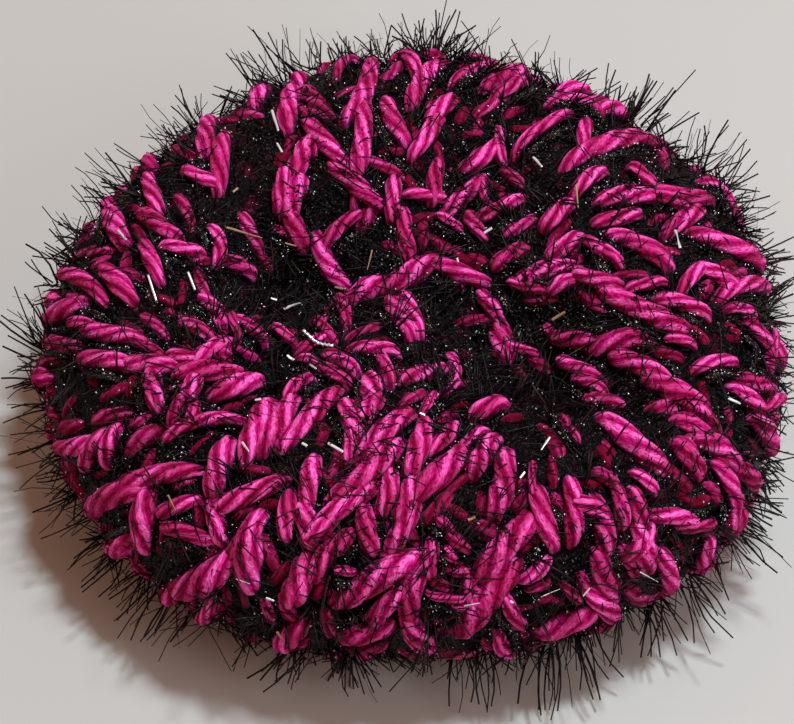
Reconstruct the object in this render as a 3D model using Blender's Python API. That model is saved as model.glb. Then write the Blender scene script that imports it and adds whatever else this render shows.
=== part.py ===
"""A knitted yarn dish scrubber: a round, puffy pad of thick pink cotton, drawn in at the middle
of both faces, with a black lash yarn carried along in it that bristles all over.

Metres, +Z up. The origin is on the surface the scrubber lies on, under the middle of its outline.
Angles run anticlockwise seen from above, from +X. A place's "meridian" is its distance in
millimetres from the gathered top centre, out over the crown, round the rim and in again to the
bottom centre. The pad is knitted round and round, so its stitches and its lash yarn follow one
spiral on that surface.
"""
import math
import random

import bmesh
import bpy
import numpy as np
from mathutils import Vector

MM = 0.001

# The pad without its stitches
PAD_RADIUS = 54.5        # mean radius of the outline
OUTLINE_WAVES = (        # how far the outline departs from a circle
    # waves around, share of the radius, angle of the first crest in degrees
    (1, 0.020, 280.0),
    (2, 0.020, 10.0),
    (3, 0.018, 85.0),
    (5, 0.010, 26.0),
)
PROFILE = (              # the section from the top centre to the bottom centre
    # place, share of the radius, height
    ("gathered top centre", 0.000, 27.0),
    ("lip of the gather", 0.130, 28.0),
    ("slope to the crown", 0.330, 31.5),
    ("crown", 0.560, 34.5),
    ("shoulder", 0.800, 32.0),
    ("upper rim", 0.950, 25.5),
    ("rim", 1.000, 17.0),
    ("lower rim", 0.955, 8.5),
    ("lower shoulder", 0.840, 2.2),
    ("foot, outer edge", 0.700, 0.0),
    ("foot, middle", 0.580, 0.0),
    ("foot, inner edge", 0.460, 0.0),
    ("slope to the lower gather", 0.250, 3.0),
    ("gathered bottom centre", 0.000, 6.5),
)
PROFILE_STEPS = 24       # steps between two places of the section
TOP_SHARE = (0.38, 0.50)  # the dimples fade out between these shares of the meridian
DIMPLES = (              # where the gathering thread pulls the top down
    # place, distance from the centre, angle, depth, length along the radius, width across it
    ("left pit", 20.0, 162.0, 10.5, 12.0, 9.5),
    ("right pit", 24.0, 330.0, 10.5, 15.0, 10.0),
    ("back valley", 24.0, 62.0, 4.0, 13.0, 5.0),
    ("back left valley", 30.0, 125.0, 2.5, 12.0, 5.0),
    ("front left valley", 26.0, 222.0, 3.0, 14.0, 5.0),
    ("front valley", 28.0, 283.0, 2.5, 12.0, 5.0),
    ("right valley", 34.0, 15.0, 2.5, 14.0, 5.0),
    ("left valley", 37.0, 192.0, 2.5, 14.0, 5.0),
)

# The stitches, each a short leg of pink yarn that stands proud of the pad
ROUND_PITCH = 11.4       # from one round of the knitting to the next
STITCH_SPACING = 6.9     # from one stitch to the next along a round
FIRST_STITCH = 4.0       # where the spiral starts on the meridian
LEG_LENGTH = 13.0
YARN_WIDTH = 4.4         # at its root in the pad
LEG_SLOPES = (0.62, 0.28)  # shares of its half width and half length that slope down
YARN_RISE = 2.9          # how far a leg stands proud
TILT = 30.0              # most legs lean clockwise of the radius by this much
LEFT_TILT = (12.0, 188.0, 40.0)  # but lean this much less round this angle, over this spread
COUNTER_TILT = -24.0     # a leg that closes a V leans the other way
COUNTER_EVERY = 4
PLACE_SPREAD = 1.4
TILT_SPREAD = 10.0
FOOT = (0.42, 0.76)      # stitches under this ring, as shares of the radius, are pressed flat
SEED = 11

# The lash yarn: a black thread in the furrow between rounds, with a row of locks
THREAD_WIDTH = 1.2
THREAD_LIFT = 0.78       # clearance between the thread and the pad
THREAD_START = 17.0      # the stretch of the meridian that it runs over
THREAD_END = 80.0
THREAD_WANDER = 1.5
FURROW = (1.0, 1.7)      # half the width of a furrow, at its floor and at its lips
FURROW_DEPTH = 0.9
LOCKS = 240
LOCK_LENGTH = (6.5, 9.0)  # at the top centre and at the rim
LOCK_SHARE = 0.42        # share of the thread that a lock's root takes
LOCK_TAPER = 0.5         # a lock's width half way along, as a share of its root
LOCK_LEAN = 32.0         # locks lean up to this far along the thread
LOCK_SPLAY = 28.0        # and up to this far to either side of it
LOCK_BEND = 16.0         # and turn by up to this much more at half length
FLOOR_GAP = 0.4          # locks end this far above the surface

BASE_SUBDIVISIONS = 8
PAD_TRIANGLES = 10400

PINK = (0.80, 0.03, 0.33, 1.0)
BLACK = (0.012, 0.010, 0.014, 1.0)


def clear_scene():
    for obj in list(bpy.data.objects):
        bpy.data.objects.remove(obj, do_unlink=True)


def yarn_material(name, colour, roughness):
    material = bpy.data.materials.new(name)
    material.use_nodes = True
    shader = material.node_tree.nodes["Principled BSDF"]
    shader.inputs["Base Color"].default_value = colour
    shader.inputs["Roughness"].default_value = roughness
    return material


def smoothstep(low, high, value):
    t = np.clip((value - low) / (high - low), 0.0, 1.0)
    return t * t * (3 - 2 * t)


def outline(angle):
    """Radius of the pad's outline at each angle, in millimetres."""
    share = 1.0
    for waves, size, crest in OUTLINE_WAVES:
        share = share + size * np.cos(waves * (angle - math.radians(crest)))
    return PAD_RADIUS * share


def section():
    """The profile as a smooth line: distances along it, shares of the radius and heights."""
    places = np.array([[share * PAD_RADIUS, height] for _, share, height in PROFILE])
    before = np.vstack([places[1] * (-1, 1), places[:-1]])
    after = np.vstack([places[1:], places[-2] * (-1, 1)])
    slopes = (after - before) / 2
    line = []
    for a, b, slope_a, slope_b in zip(places, places[1:], slopes, slopes[1:]):
        for step in range(PROFILE_STEPS):
            t = step / PROFILE_STEPS
            line.append(
                a * (2 * t**3 - 3 * t**2 + 1) + slope_a * (t**3 - 2 * t**2 + t)
                + b * (3 * t**2 - 2 * t**3) + slope_b * (t**3 - t**2)
            )
    line = np.array([*line, places[-1]])
    line[:, 1] = np.maximum(line[:, 1], 0.0)
    along = np.concatenate([[0.0], np.cumsum(np.linalg.norm(np.diff(line, axis=0), axis=1))])
    return along, line[:, 0] / PAD_RADIUS, line[:, 1]


SECTION = section()
MERIDIAN = SECTION[0][-1]


def radius_share(meridian):
    return np.interp(meridian, SECTION[0], SECTION[1])


def dimple_depth(x, y):
    """How far the gather pulls the top down at each x, y."""
    depth = np.zeros_like(x)
    for _, distance, angle, deep, length, width in DIMPLES:
        ux, uy = math.cos(math.radians(angle)), math.sin(math.radians(angle))
        along = x * ux + y * uy - distance
        across = y * ux - x * uy
        depth = depth + deep * np.exp(-((along / length) ** 2) - (across / width) ** 2)
    return depth


def pad_points(angle, meridian):
    """Points of the bare pad, in millimetres from its gather."""
    radius = radius_share(meridian) * outline(angle)
    x, y = radius * np.cos(angle), radius * np.sin(angle)
    top = 1 - smoothstep(*(share * MERIDIAN for share in TOP_SHARE), meridian)
    z = np.interp(meridian, SECTION[0], SECTION[2]) - dimple_depth(x, y) * top
    return np.stack([x, y, z], axis=-1)


def pad_normals(angle, meridian):
    """Outward unit normals of the bare pad."""
    step, turn, edge = 0.4, 0.01, 1e-3
    low, high = np.maximum(meridian - step, edge), np.minimum(meridian + step, MERIDIAN - edge)
    outward = pad_points(angle, high) - pad_points(angle, low)
    around = pad_points(angle + turn, meridian) - pad_points(angle - turn, meridian)
    normal = np.cross(outward, around)
    return normal / np.maximum(np.linalg.norm(normal, axis=-1, keepdims=True), 1e-9)


def spiral(start, end, count=None, spacing=None):
    """Places at even distances along the spiral between two places of the meridian."""
    fine = np.linspace(start, end, 20000)
    angles = 2 * math.pi * (fine - FIRST_STITCH) / ROUND_PITCH
    radius = np.maximum(radius_share(fine) * PAD_RADIUS, 1.0)
    run = np.concatenate([[0.0], np.cumsum(np.diff(angles) * (radius[1:] + radius[:-1]) / 2)])
    if count is None:
        count = int(run[-1] / spacing)
    even = np.linspace(0.0, run[-1], count)
    return np.interp(even, run, angles), np.interp(even, run, fine)


def stitches():
    """Every stitch: angle, place on the meridian, tilt, half length, half width, rise."""
    draw = random.Random(SEED)
    less, left, spread = LEFT_TILT
    made = []
    places = zip(*spiral(FIRST_STITCH, MERIDIAN, spacing=STITCH_SPACING))
    for number, (angle, middle) in enumerate(places):
        share = float(radius_share(middle))
        counter = number % COUNTER_EVERY == COUNTER_EVERY - 1
        from_left = (math.degrees(angle) - left + 180) % 360 - 180
        tilt = COUNTER_TILT if counter else TILT - less * math.exp(-((from_left / spread) ** 2))
        stitch = (
            angle + draw.uniform(-1, 1) * PLACE_SPREAD / max(share * PAD_RADIUS, 2 * PLACE_SPREAD),
            middle + draw.uniform(-1, 1) * PLACE_SPREAD,
            math.radians(tilt + draw.uniform(-1, 1) * TILT_SPREAD),
            0.5 * LEG_LENGTH * draw.uniform(0.8, 1.2) * (0.8 if counter else 1.0),
            0.5 * YARN_WIDTH * draw.uniform(0.92, 1.08),
            YARN_RISE * (draw.uniform(0.6, 0.8) if counter else draw.uniform(0.85, 1.05)),
        )
        if middle < MERIDIAN / 2 or not FOOT[0] < share < FOOT[1]:
            made.append(stitch)
    return made


def thread_meridian(angle):
    """Where the lash thread runs on the meridian, half way between two rounds of stitches."""
    wander = THREAD_WANDER * (np.sin(3 * angle) + 0.5 * np.sin(7 * angle + 2))
    return FIRST_STITCH + ROUND_PITCH * (angle / (2 * math.pi) + 0.5) + wander


def relief(angle, meridian):
    """How far the stitches stand proud of the bare pad at each place, in millimetres."""
    height = np.zeros_like(angle)
    for centre, middle, tilt, half_length, half_width, rise in stitches():
        radius = radius_share(middle) * PAD_RADIUS
        turn = (angle - centre + math.pi) % (2 * math.pi) - math.pi
        near = (np.abs(meridian - middle) < half_length) & (np.abs(turn) * radius < half_length)
        right = -turn[near] * radius
        out = meridian[near] - middle
        lengthwise = (out * math.cos(tilt) + right * math.sin(tilt)) / half_length
        across = (right * math.cos(tilt) - out * math.sin(tilt)) / half_width
        side = (1 - np.abs(across)) / LEG_SLOPES[0]
        end = (1 - np.abs(lengthwise)) / LEG_SLOPES[1]
        height[near] = np.maximum(height[near], rise * np.clip(np.minimum(side, end), 0, 1))
    half_pitch = ROUND_PITCH / 2
    from_thread = np.abs((meridian - thread_meridian(angle) + half_pitch) % ROUND_PITCH - half_pitch)
    furrow = smoothstep(*FURROW, from_thread)
    threaded = (meridian > THREAD_START - half_pitch) & (meridian < THREAD_END + half_pitch)
    return np.where(threaded, (height + FURROW_DEPTH) * furrow - FURROW_DEPTH, height)


def to_metres(points):
    return np.asarray(points) * MM


def flatten_foot(mesh):
    """Nothing reaches below the surface: what would is pressed flat on it."""
    for vertex in mesh.vertices:
        if vertex.co.z < 0.05 * MM:
            vertex.co.z = 0.0


def build_pad(material):
    """The knitted pad: a ball's even mesh, bent to the section, with every stitch raised in it."""
    mesh = bpy.data.meshes.new("pad_fine")
    ball = bmesh.new()
    bmesh.ops.create_icosphere(ball, subdivisions=BASE_SUBDIVISIONS, radius=1.0)
    ball.to_mesh(mesh)
    ball.free()
    sphere = np.empty(len(mesh.vertices) * 3)
    mesh.vertices.foreach_get("co", sphere)
    sphere = sphere.reshape(-1, 3)
    angle = np.arctan2(sphere[:, 1], sphere[:, 0])
    tilt_from_top = np.arctan2(np.hypot(sphere[:, 0], sphere[:, 1]), sphere[:, 2])
    meridian = tilt_from_top / math.pi * MERIDIAN
    points = pad_points(angle, meridian)
    points += pad_normals(angle, meridian) * relief(angle, meridian)[:, None]
    mesh.vertices.foreach_set("co", to_metres(points).ravel())
    flatten_foot(mesh)
    mesh.update()

    fine = bpy.data.objects.new("pad_fine", mesh)
    bpy.context.scene.collection.objects.link(fine)
    fewer = fine.modifiers.new("fewer faces", "DECIMATE")
    fewer.ratio = PAD_TRIANGLES / len(mesh.polygons)
    graph = bpy.context.evaluated_depsgraph_get()
    made = bpy.data.meshes.new_from_object(fine.evaluated_get(graph))
    bpy.data.objects.remove(fine, do_unlink=True)
    bpy.data.meshes.remove(mesh)
    flatten_foot(made)
    made.name = "knitted_pad"
    made.materials.clear()
    made.materials.append(material)
    made.shade_smooth()
    pad = bpy.data.objects.new("knitted_pad", made)
    bpy.context.scene.collection.objects.link(pad)


def build_lash_yarn(material):
    """The black thread, a three-sided tube along the spiral, with its locks grown out of it."""
    draw = random.Random(SEED + 1)
    half_pitch = ROUND_PITCH / 2
    roots, _ = spiral(THREAD_START - half_pitch, THREAD_END - half_pitch, count=LOCKS + 1)
    steps = np.diff(roots)
    angles = []
    for start, step in zip(roots, steps):
        begin = start + step * draw.uniform(0.0, 0.25)
        angles += [begin, begin + LOCK_SHARE * step]
    angles = np.array([*angles, roots[-1]])
    meridian = thread_meridian(angles)
    normals = pad_normals(angles, meridian)
    centres = pad_points(angles, meridian) + normals * (THREAD_LIFT - FURROW_DEPTH + 0.5 * THREAD_WIDTH)
    tangents = np.gradient(centres, axis=0)
    tangents /= np.linalg.norm(tangents, axis=1, keepdims=True)
    sideways = np.cross(normals, tangents)

    yarn = bmesh.new()
    half = 0.5 * THREAD_WIDTH
    loops = []
    for centre, normal, side in zip(centres, normals, sideways):
        corners = (
            centre + normal * half * 0.6 + side * half,
            centre + normal * half * 0.6 - side * half,
            centre - normal * half,
        )
        loops.append([yarn.verts.new(to_metres(corner)) for corner in corners])
    yarn.faces.new(loops[0])
    yarn.faces.new(reversed(loops[-1]))
    for i, (loop, following) in enumerate(zip(loops, loops[1:])):
        for a in range(3):
            b = (a + 1) % 3
            face = [loop[a], loop[b], following[b], following[a]]
            if a == 0 and i % 2 == 0:
                grow_lock(yarn, face, centres[i], (normals[i], tangents[i], sideways[i]), meridian[i], draw)
            else:
                yarn.faces.new(face)
    bmesh.ops.recalc_face_normals(yarn, faces=yarn.faces)
    mesh = bpy.data.meshes.new("lash_yarn")
    yarn.to_mesh(mesh)
    yarn.free()
    mesh.materials.append(material)
    bpy.context.scene.collection.objects.link(bpy.data.objects.new("lash_yarn", mesh))


def grow_lock(yarn, root, centre, axes, meridian, draw):
    """Grows one lock out of the root face: a taper that leans any way and bends a little."""
    normal, tangent, sideways = axes
    lean = math.tan(math.radians(draw.uniform(-LOCK_LEAN, LOCK_LEAN)))
    splay = math.tan(math.radians(draw.uniform(-LOCK_SPLAY, LOCK_SPLAY)))
    bend = lean + math.tan(math.radians(draw.uniform(-LOCK_BEND, LOCK_BEND)))
    reach = np.interp(meridian, (0.0, 0.4 * MERIDIAN), LOCK_LENGTH) * draw.uniform(0.82, 1.0)
    first = normal + tangent * lean + sideways * splay
    second = normal + tangent * bend + sideways * splay
    first /= np.linalg.norm(first)
    second /= np.linalg.norm(second)
    half_way = centre + first * reach * 0.55
    tip = half_way + second * reach * 0.45
    half_way[2] = max(half_way[2], 3 * FLOOR_GAP)
    tip[2] = max(tip[2], FLOOR_GAP)
    middle = sum((v.co for v in root), Vector()) / 4
    waist_centre = Vector(to_metres(half_way))
    waist = [yarn.verts.new(waist_centre + (v.co - middle) * LOCK_TAPER) for v in root]
    point = yarn.verts.new(to_metres(tip))
    for a in range(4):
        b = (a + 1) % 4
        yarn.faces.new([root[a], root[b], waist[b], waist[a]])
        yarn.faces.new([waist[a], waist[b], point])


def main():
    clear_scene()
    build_pad(yarn_material("pink_cotton", PINK, 0.85))
    build_lash_yarn(yarn_material("black_lash", BLACK, 0.45))


main()
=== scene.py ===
"""The looks of a knitted yarn dish scrubber: thick pink cotton and black lash yarn, knitted round
and round along one spiral and drawn in at the middle of both faces.

Lengths are in millimetres until they go into a mesh, which is in metres, in the model's frame.
Angles run anticlockwise seen from above, from +X. A place's "meridian" is its distance from the
gathered top centre, out over the crown, round the rim and in again to the bottom centre.
"""
import math
import random
from collections import namedtuple

import bpy
import numpy as np
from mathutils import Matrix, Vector
from mathutils.kdtree import KDTree


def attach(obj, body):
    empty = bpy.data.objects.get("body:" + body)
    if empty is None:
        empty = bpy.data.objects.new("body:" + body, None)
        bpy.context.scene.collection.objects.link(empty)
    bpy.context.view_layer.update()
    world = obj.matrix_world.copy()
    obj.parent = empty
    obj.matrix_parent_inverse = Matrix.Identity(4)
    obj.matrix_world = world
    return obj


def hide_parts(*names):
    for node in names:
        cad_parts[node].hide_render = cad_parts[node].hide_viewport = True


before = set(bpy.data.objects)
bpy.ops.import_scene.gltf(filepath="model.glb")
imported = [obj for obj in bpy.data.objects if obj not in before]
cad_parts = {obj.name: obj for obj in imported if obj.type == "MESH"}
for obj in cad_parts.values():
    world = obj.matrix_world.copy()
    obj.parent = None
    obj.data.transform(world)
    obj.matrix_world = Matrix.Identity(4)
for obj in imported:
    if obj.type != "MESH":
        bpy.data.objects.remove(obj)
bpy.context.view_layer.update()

MM = 0.001

# ---------------------------------------------------------------- the pad's shape, as modelled
PAD_RADIUS = 54.5
OUTLINE_WAVES = (
    # waves around, share of the radius, angle of the first crest in degrees
    (1, 0.020, 280.0),
    (2, 0.020, 10.0),
    (3, 0.018, 85.0),
    (5, 0.010, 26.0),
)
PROFILE = (
    # place, share of the radius, height
    ("gathered top centre", 0.000, 27.0),
    ("lip of the gather", 0.130, 28.0),
    ("slope to the crown", 0.330, 31.5),
    ("crown", 0.560, 34.5),
    ("shoulder", 0.800, 32.0),
    ("upper rim", 0.950, 25.5),
    ("rim", 1.000, 17.0),
    ("lower rim", 0.955, 8.5),
    ("lower shoulder", 0.840, 2.2),
    ("foot, outer edge", 0.700, 0.0),
    ("foot, middle", 0.580, 0.0),
    ("foot, inner edge", 0.460, 0.0),
    ("slope to the lower gather", 0.250, 3.0),
    ("gathered bottom centre", 0.000, 6.5),
)
PROFILE_STEPS = 24
TOP_SHARE = (0.38, 0.50)
DIMPLES = (
    # place, distance from the centre, angle, depth, length along the radius, width across it
    ("left pit", 20.0, 162.0, 10.5, 12.0, 9.5),
    ("right pit", 24.0, 330.0, 10.5, 15.0, 10.0),
    ("back valley", 24.0, 62.0, 4.0, 13.0, 5.0),
    ("back left valley", 30.0, 125.0, 2.5, 12.0, 5.0),
    ("front left valley", 26.0, 222.0, 3.0, 14.0, 5.0),
    ("front valley", 28.0, 283.0, 2.5, 12.0, 5.0),
    ("right valley", 34.0, 15.0, 2.5, 14.0, 5.0),
    ("left valley", 37.0, 192.0, 2.5, 14.0, 5.0),
)

ROUND_PITCH = 11.4
STITCH_SPACING = 6.9
FIRST_STITCH = 4.0
LEG_LENGTH = 13.0
YARN_RISE = 2.9
TILT = 30.0
LEFT_TILT = (12.0, 188.0, 40.0)
COUNTER_TILT = -24.0
COUNTER_EVERY = 4
PLACE_SPREAD = 1.4
TILT_SPREAD = 10.0
LENGTH_SPREAD = (0.8, 1.2)
COUNTER_LENGTH = 0.8
THICKNESS_SPREAD = (0.92, 1.08)
RISE_SPREAD = (0.85, 1.05)
COUNTER_RISE = (0.6, 0.8)
SPIRAL_STEPS = 20000
SEED = 11
EDGE = 0.3                  # places keep this far from both gathered centres
TIGHTEST = 3.5              # least radius by which a run round the pad is turned into an angle
FLOOR_CLEARANCE = 0.05

# ---------------------------------------------------------------- the photo's view
IMAGE_SIZE = (794, 724)
ELEVATION = 52.0            # of the camera over the floor, in degrees
DISTANCE = 420.0            # from the camera to what it is aimed at
PIXELS_PER_MM = 6.6         # at that distance
GATHER_PIXEL = (414, 297)   # where the gathered centre shows
GATHER_HEIGHT = 28.0
SENSOR = 36.0
SEARCH_STEP = 0.5           # between the places on the pad that are tried for a pixel
SEARCH_LIFT = 1.2           # of those places over the bare pad
SEARCH_REACH = 0.62         # share of the meridian that can face the camera
SEARCH_PIXELS = 4.0
SEARCH_ROUNDS = 4           # steps that close in on the pixel. The three values below shape them
NUDGE = 0.2
DAMPING = 1.0
LONGEST_STEP = 1.5
LIMB = 0.15                 # cosine of the angle to the camera under which the photo shows too little
BACK_LINE = -5.0            # y past which the photo's strands are one piece, the others being another
SIDE_SHARE = 0.62           # share of the meridian that parts the other strands into two pieces

# ---------------------------------------------------------------- the pink strands
YARN_RADIUS = 1.60
PLIES = 5
PLY_GROOVE = 0.17           # depth of the grooves between plies, as a share of the radius
PLY_TWIST = -0.27           # radians for each millimetre of yarn, winding to the left
LEG_POINTS = 15
LEG_SIDES = 20
FILL_SIDES = 14
DEEP_SIDES = 8
UNDER_EDGE = 0.35           # radians under its widest place, where a strand's sides get coarser
LEG_END = -1.6              # height of a leg's dived ends
LEG_THINNER = (0.56, 0.34)  # loss of radius at a leg's gentle end and at its steep one
LEG_LUMPS = 0.09
LEG_FULL = 1.04             # share of its radius that a leg has in its middle
LEG_FLOOR = 0.75 * YARN_RADIUS   # least height of a leg's middle line
BARE_LIT_FLANK = (-0.35, 0.75)  # sine of the angle round a strand, from where painted shade and lashes hide it to bare and lit
BARE_LIT_END = 3.6              # how late a strand fades into painted shade and under the lashes at its ends
OVERRUN = 1.35              # how far a leg runs on, diving, past the end that shows
MOST_OVERRUN = 0.35         # but by no more than this share of its length
BOW = 0.07                  # how far a bowed strand arches, as a share of its length
SWAY = 0.07                 # how far a strand may bend sideways, as a share of its length
SUNK_DROP = 1.3             # how much lower the sunk strands lie
SUNK_SHADE = (0.35, 0.6)
SHADE_SPREAD = 0.15
FULLER = 1.12               # the yarn's whole thickness over what shows between the lashes
TOP_SPREAD = (-0.5, 0.1)
DIVES = ((7.0, 10.0), (4.5, 6.0))        # power of the dive at the steep end and at the gentle one
SPARE_DIVES = ((5.0, 7.0), (2.8, 3.6))   # the same, of the strands that the photo doesn't show
SPARE_TOP_SPREAD = (-0.6, 0.2)
SPARE_RADIUS = (0.8, 1.08)
SPARE_BEND = 1.1
SPARE_SHADE = 0.45
LEG_CLEARANCE = 3.4         # between the centre lines of strands from the photo and others
PIT_EDGE = 0.12             # how deep in a pit such strands may lie: 0 is far off, 1 its middle
PIT_SHARE = 0.5             # share of the meridian past which the pits don't matter
FILLS = (
    # shift along and across the rounds, share of a stitch's length
    (0.5, 0.85),
    (1.3, 0.70),
    (0.7, 0.70),
    (1.5, 0.50),
    (0.2, 0.50),
)
FILL_CLEARANCE = 2.5
DEEP_BESIDE = (2.4, 3.6)    # distance of a deep strand from the one that it lies beside
DEEP_ALONG = 3              # and how far it is shifted along it
DEEP_TURN = 0.5
DEEP_HALF = (1.8, 3.8)
DEEP_RADIUS = (0.6, 1.0)
DEEP_TOP = (0.1, 0.9)
DEEP_DIVE = (3.0, 5.0)
# share of a deep strand's own pink against its painted shade: 0 is all shade
DEEP_SHADE_TONE = (0.04, 0.42)
DEEP_CLEARANCE = 1.9

# ---------------------------------------------------------------- the black yarn and the bits
CORE_GRID = (210, 105)
CORE_HEIGHT = 0.35          # of the dark mass between the strands, over the bare pad
CORE_LUMPS = 0.55
CORE_ROUGH = 0.10
CORE_LIFT = 1.7             # of the dark mass over the surface that the strands under it lie on
CORE_WAVES = ((1.1, 0.4, 0.9), (-0.7, 1.3, 0.5), (0.5, -1.5, 1.2), (1.7, 0.9, -0.6))
THREAD_RADIUS = 0.75
THREAD_SIDES = 6
THREAD_BESIDE = (-0.4, 0.5)
THREAD_DROP = (-1.2, -0.1)
THREAD_LOWEST = -0.8
THREAD_END = 1.8            # depth of a thread's dived ends
THREAD_PRESS = 0.8          # share of its radius by which a thread keeps off the strands
BEAD_PITCH = 0.9
BEAD_SHAPE = (0.80, 0.30)   # least radius of a bead's neck, and what the bead adds
BEAD_SLANT = 0.4
LASH_SPACING = 0.65         # between the lashes along the black yarn
COMB_SHARE = 0.75           # of those places that have a lash
COMB_GATHER = (0.55, 0.9)   # times that in a strand's middle, and what is added towards its ends
COMB_LIFT = (5, 50)         # degrees over the pad, another for each thread
COMB_SLANT = 0.45
COMB_SPREAD = 0.22
HAIR_LIFT = 0.12            # clearance of a hair that lies over a strand
HAIR_FLOOR = 0.2            # clearance of a hair's middle line from the surface that the pad lies on
HAIR_TAPERS = (0.75, 0.4)   # thickness left at the end of a blunt hair, and before the tip of another
HAIR_KINDS = {
    # lengths, points along each, how much they curl, widths
    "deep": ((1.5, 3.2), 2, 0.0, (0.16, 0.28)),
    "short": ((1.4, 3.4), 2, 0.05, (0.16, 0.27)),
    "crossing": ((4.5, 11.0), 6, 0.07, (0.18, 0.31)),
    "over_gaps": ((3.0, 7.0), 4, 0.10, (0.20, 0.32)),
    "long": ((3.5, 8.0), 3, 0.08, (0.26, 0.38)),
    "fine": ((4.0, 7.5), 5, 0.45, (0.07, 0.12)),
}
TUFTS = {
    # tufts on each thread, hairs in each, degrees of lean and fan, spread of the roots
    "short": (8, 5, (0, 100), 40, 0.5),
    "long": (1, 8, (15, 70), 16, 0.28),
    "fine": (2, 1, (10, 75), 40, 0.28),
}
TUFT_SPREAD = 0.12
LONG_SHARE = 0.5            # of the threads that carry long lashes
DEEP_HAIRS = 14000
DEEP_LEAN = (5, 80)
PAD_ROOTS = (0.5, 0.97)     # hairs on the dark mass start past this place, and end at this share
GAP_HAIRS = 9000
GAP_LASHES = 1.3            # distance from the strands past which lashes cover the dark mass
GAP_LEAN = (0.1, 0.9)
GAP_SWIRL = 0.25
CROSSING_SAG = -0.24        # how far hairs bend back to the pad, as a share of their length
GAP_SAG = -0.2
BRISTLE_ROOT = 1.2          # height of the roots of the lashes that stand out at the edge
BRISTLE_MATES = 3           # shorter lashes that fan out beside each of them
BRISTLE_POINTS = 4
BRISTLE_FLOOR = 0.25
BRISTLE_DEPTH = 0.12        # spread of their lean to or from the camera, as a share of their length
BRISTLE_BEND = 0.05
MATE_SPREAD = 0.26
MATE_LENGTH = (0.35, 0.95)
MATE_WIDTH = (0.5, 0.9)
MATE_ROOT = 0.7
GLINTS = (14, 3000)         # on each thread, and on the dark mass
GLINT_SIZE = (0.14, 0.40)
GLINT_WIDTH = 0.55
GLINT_LIFT = (0.3, 1.2)
GLINT_SPREAD = 0.45
BIT_FLATNESS = 0.40
BIT_POINTS = 25
BIT_SIDES = 8
BIT_LIFT = 3.1
NAP_SHARE = 0.09
NAP_FLANK = (0.3, 1.4)      # times that on a strand's crest, and what is added down its flanks
NAP_LEAN = (25, 80)
NAP_LENGTH = (0.5, 1.5)
NAP_WIDTH = (0.07, 0.15)
NAP_FLOOR = 0.06
NAP_CURL = 0.05

# ---------------------------------------------------------------- the colours and the light
FIBRE_STRETCH = 0.5         # of the cotton's fibres along the yarn
FIBRE_RADIUS = 1.6          # of the yarn, in the noise that makes them
STRAND_STEP = 7.3           # between one strand and the next in that noise
FIBRE_MIDDLE = 0.55
FIBRE_DEPTH = 1.5
FIBRE_NOISE = (3.6, 3.0)    # scale and detail, as in the next two lines
CRIMSON_NOISE = (0.40, 1.0)
FLUFF_NOISE = (1.9, 4.0)
FLUFF_DEPTH = 0.9           # how far the fluff moves the edge of the painted shade and of what the lashes hide
# From the grooves between the plies to their crests: painted shade in the grooves, the cotton's own pink,
# then a painted highlight on the crests.
COTTON_STOPS = (
    (0.00, (0.22, 0.0, 0.05)),
    (0.25, (0.39, 0.005, 0.12)),
    (0.60, (0.67, 0.020, 0.265)),
    (1.00, (1.0, 0.185, 0.67)),
)
# Painted shade of the strands that lie lower, mixed in as their shade tone falls.
SUNK_COTTON_SHADE = (0.17, 0.0, 0.018)
# Near-black of the strands' flanks and ends: painted shade, and the lashes over them.
HIDDEN_SHADED_COTTON = (0.035, 0.0, 0.014)
CRIMSON_STOPS = ((0.42, (0.52, 0.22, 0.32)), (0.60, (1.0, 1.0, 1.0)))
BARE_LIT_STOPS = ((0.12, (0.0, 0.0, 0.0)), (0.62, (1.0, 1.0, 1.0)))
NAP_STOPS = ((0.0, (0.05, 0.0, 0.025)), (0.35, (0.30, 0.005, 0.12)), (1.0, (0.85, 0.05, 0.40)))
LASH_STOPS = (
    (0.00, (0.002, 0.0016, 0.0024)),
    (0.85, (0.011, 0.009, 0.011)),
    (1.00, (0.032, 0.015, 0.010)),
)
# Lighter on the middle of each bead and near-black between the beads: a faint painted highlight and painted
# shade.
THREAD_STOPS = ((0.2, (0.014, 0.012, 0.015)), (0.6, (0.002, 0.0015, 0.0024)))
# Black, and the dark crimson of deep cotton in painted shade.
CORE_STOPS = ((0.60, (0.0035, 0.0024, 0.0034)), (0.74, (0.06, 0.001, 0.014)))
THREAD_BEADS = 1700.0
CORE_BEADS = 1500.0
CORE_PATCHES = 260.0
PLAIN_MATERIALS = {
    # the short filaments, too deep to shine
    "black_fluff": dict(Base_Color=(0.0034, 0.0024, 0.0032, 1.0), Roughness=1.0, Specular_IOR_Level=0.0),
    # the finest filaments, which let some light through and look grey against the floor
    "grey_lash": dict(Base_Color=(0.016, 0.013, 0.013, 1.0), Roughness=0.5, Specular_IOR_Level=0.2),
    "silver_tinsel": dict(Base_Color=(0.82, 0.90, 0.98, 1.0), Metallic=0.55, Roughness=0.28),
    "straw_bits": dict(Base_Color=(0.30, 0.19, 0.09, 1.0), Roughness=0.5),
    "floor": dict(Base_Color=(0.44, 0.447, 0.447, 1.0), Roughness=0.75, Specular_IOR_Level=0.2),
}
FLOOR_HALF = 1.6            # metres, as are the lengths below
FLOOR_DROP = 0.0001
SURROUNDINGS = (1.0, 0.54, 0.35, 1.0)
SURROUNDINGS_STRENGTH = 0.46
LIGHTS = (
    # name, place, size, power, colour
    ("key", (0.17, 0.07, 0.74), 0.10, 5.8, (0.86, 0.97, 1.0)),
    ("fill", (0.34, -0.26, 0.34), 0.30, 0.8, (0.90, 0.97, 1.0)),
)
LIGHTS_AIM = (0, 0, 0.02)

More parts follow.
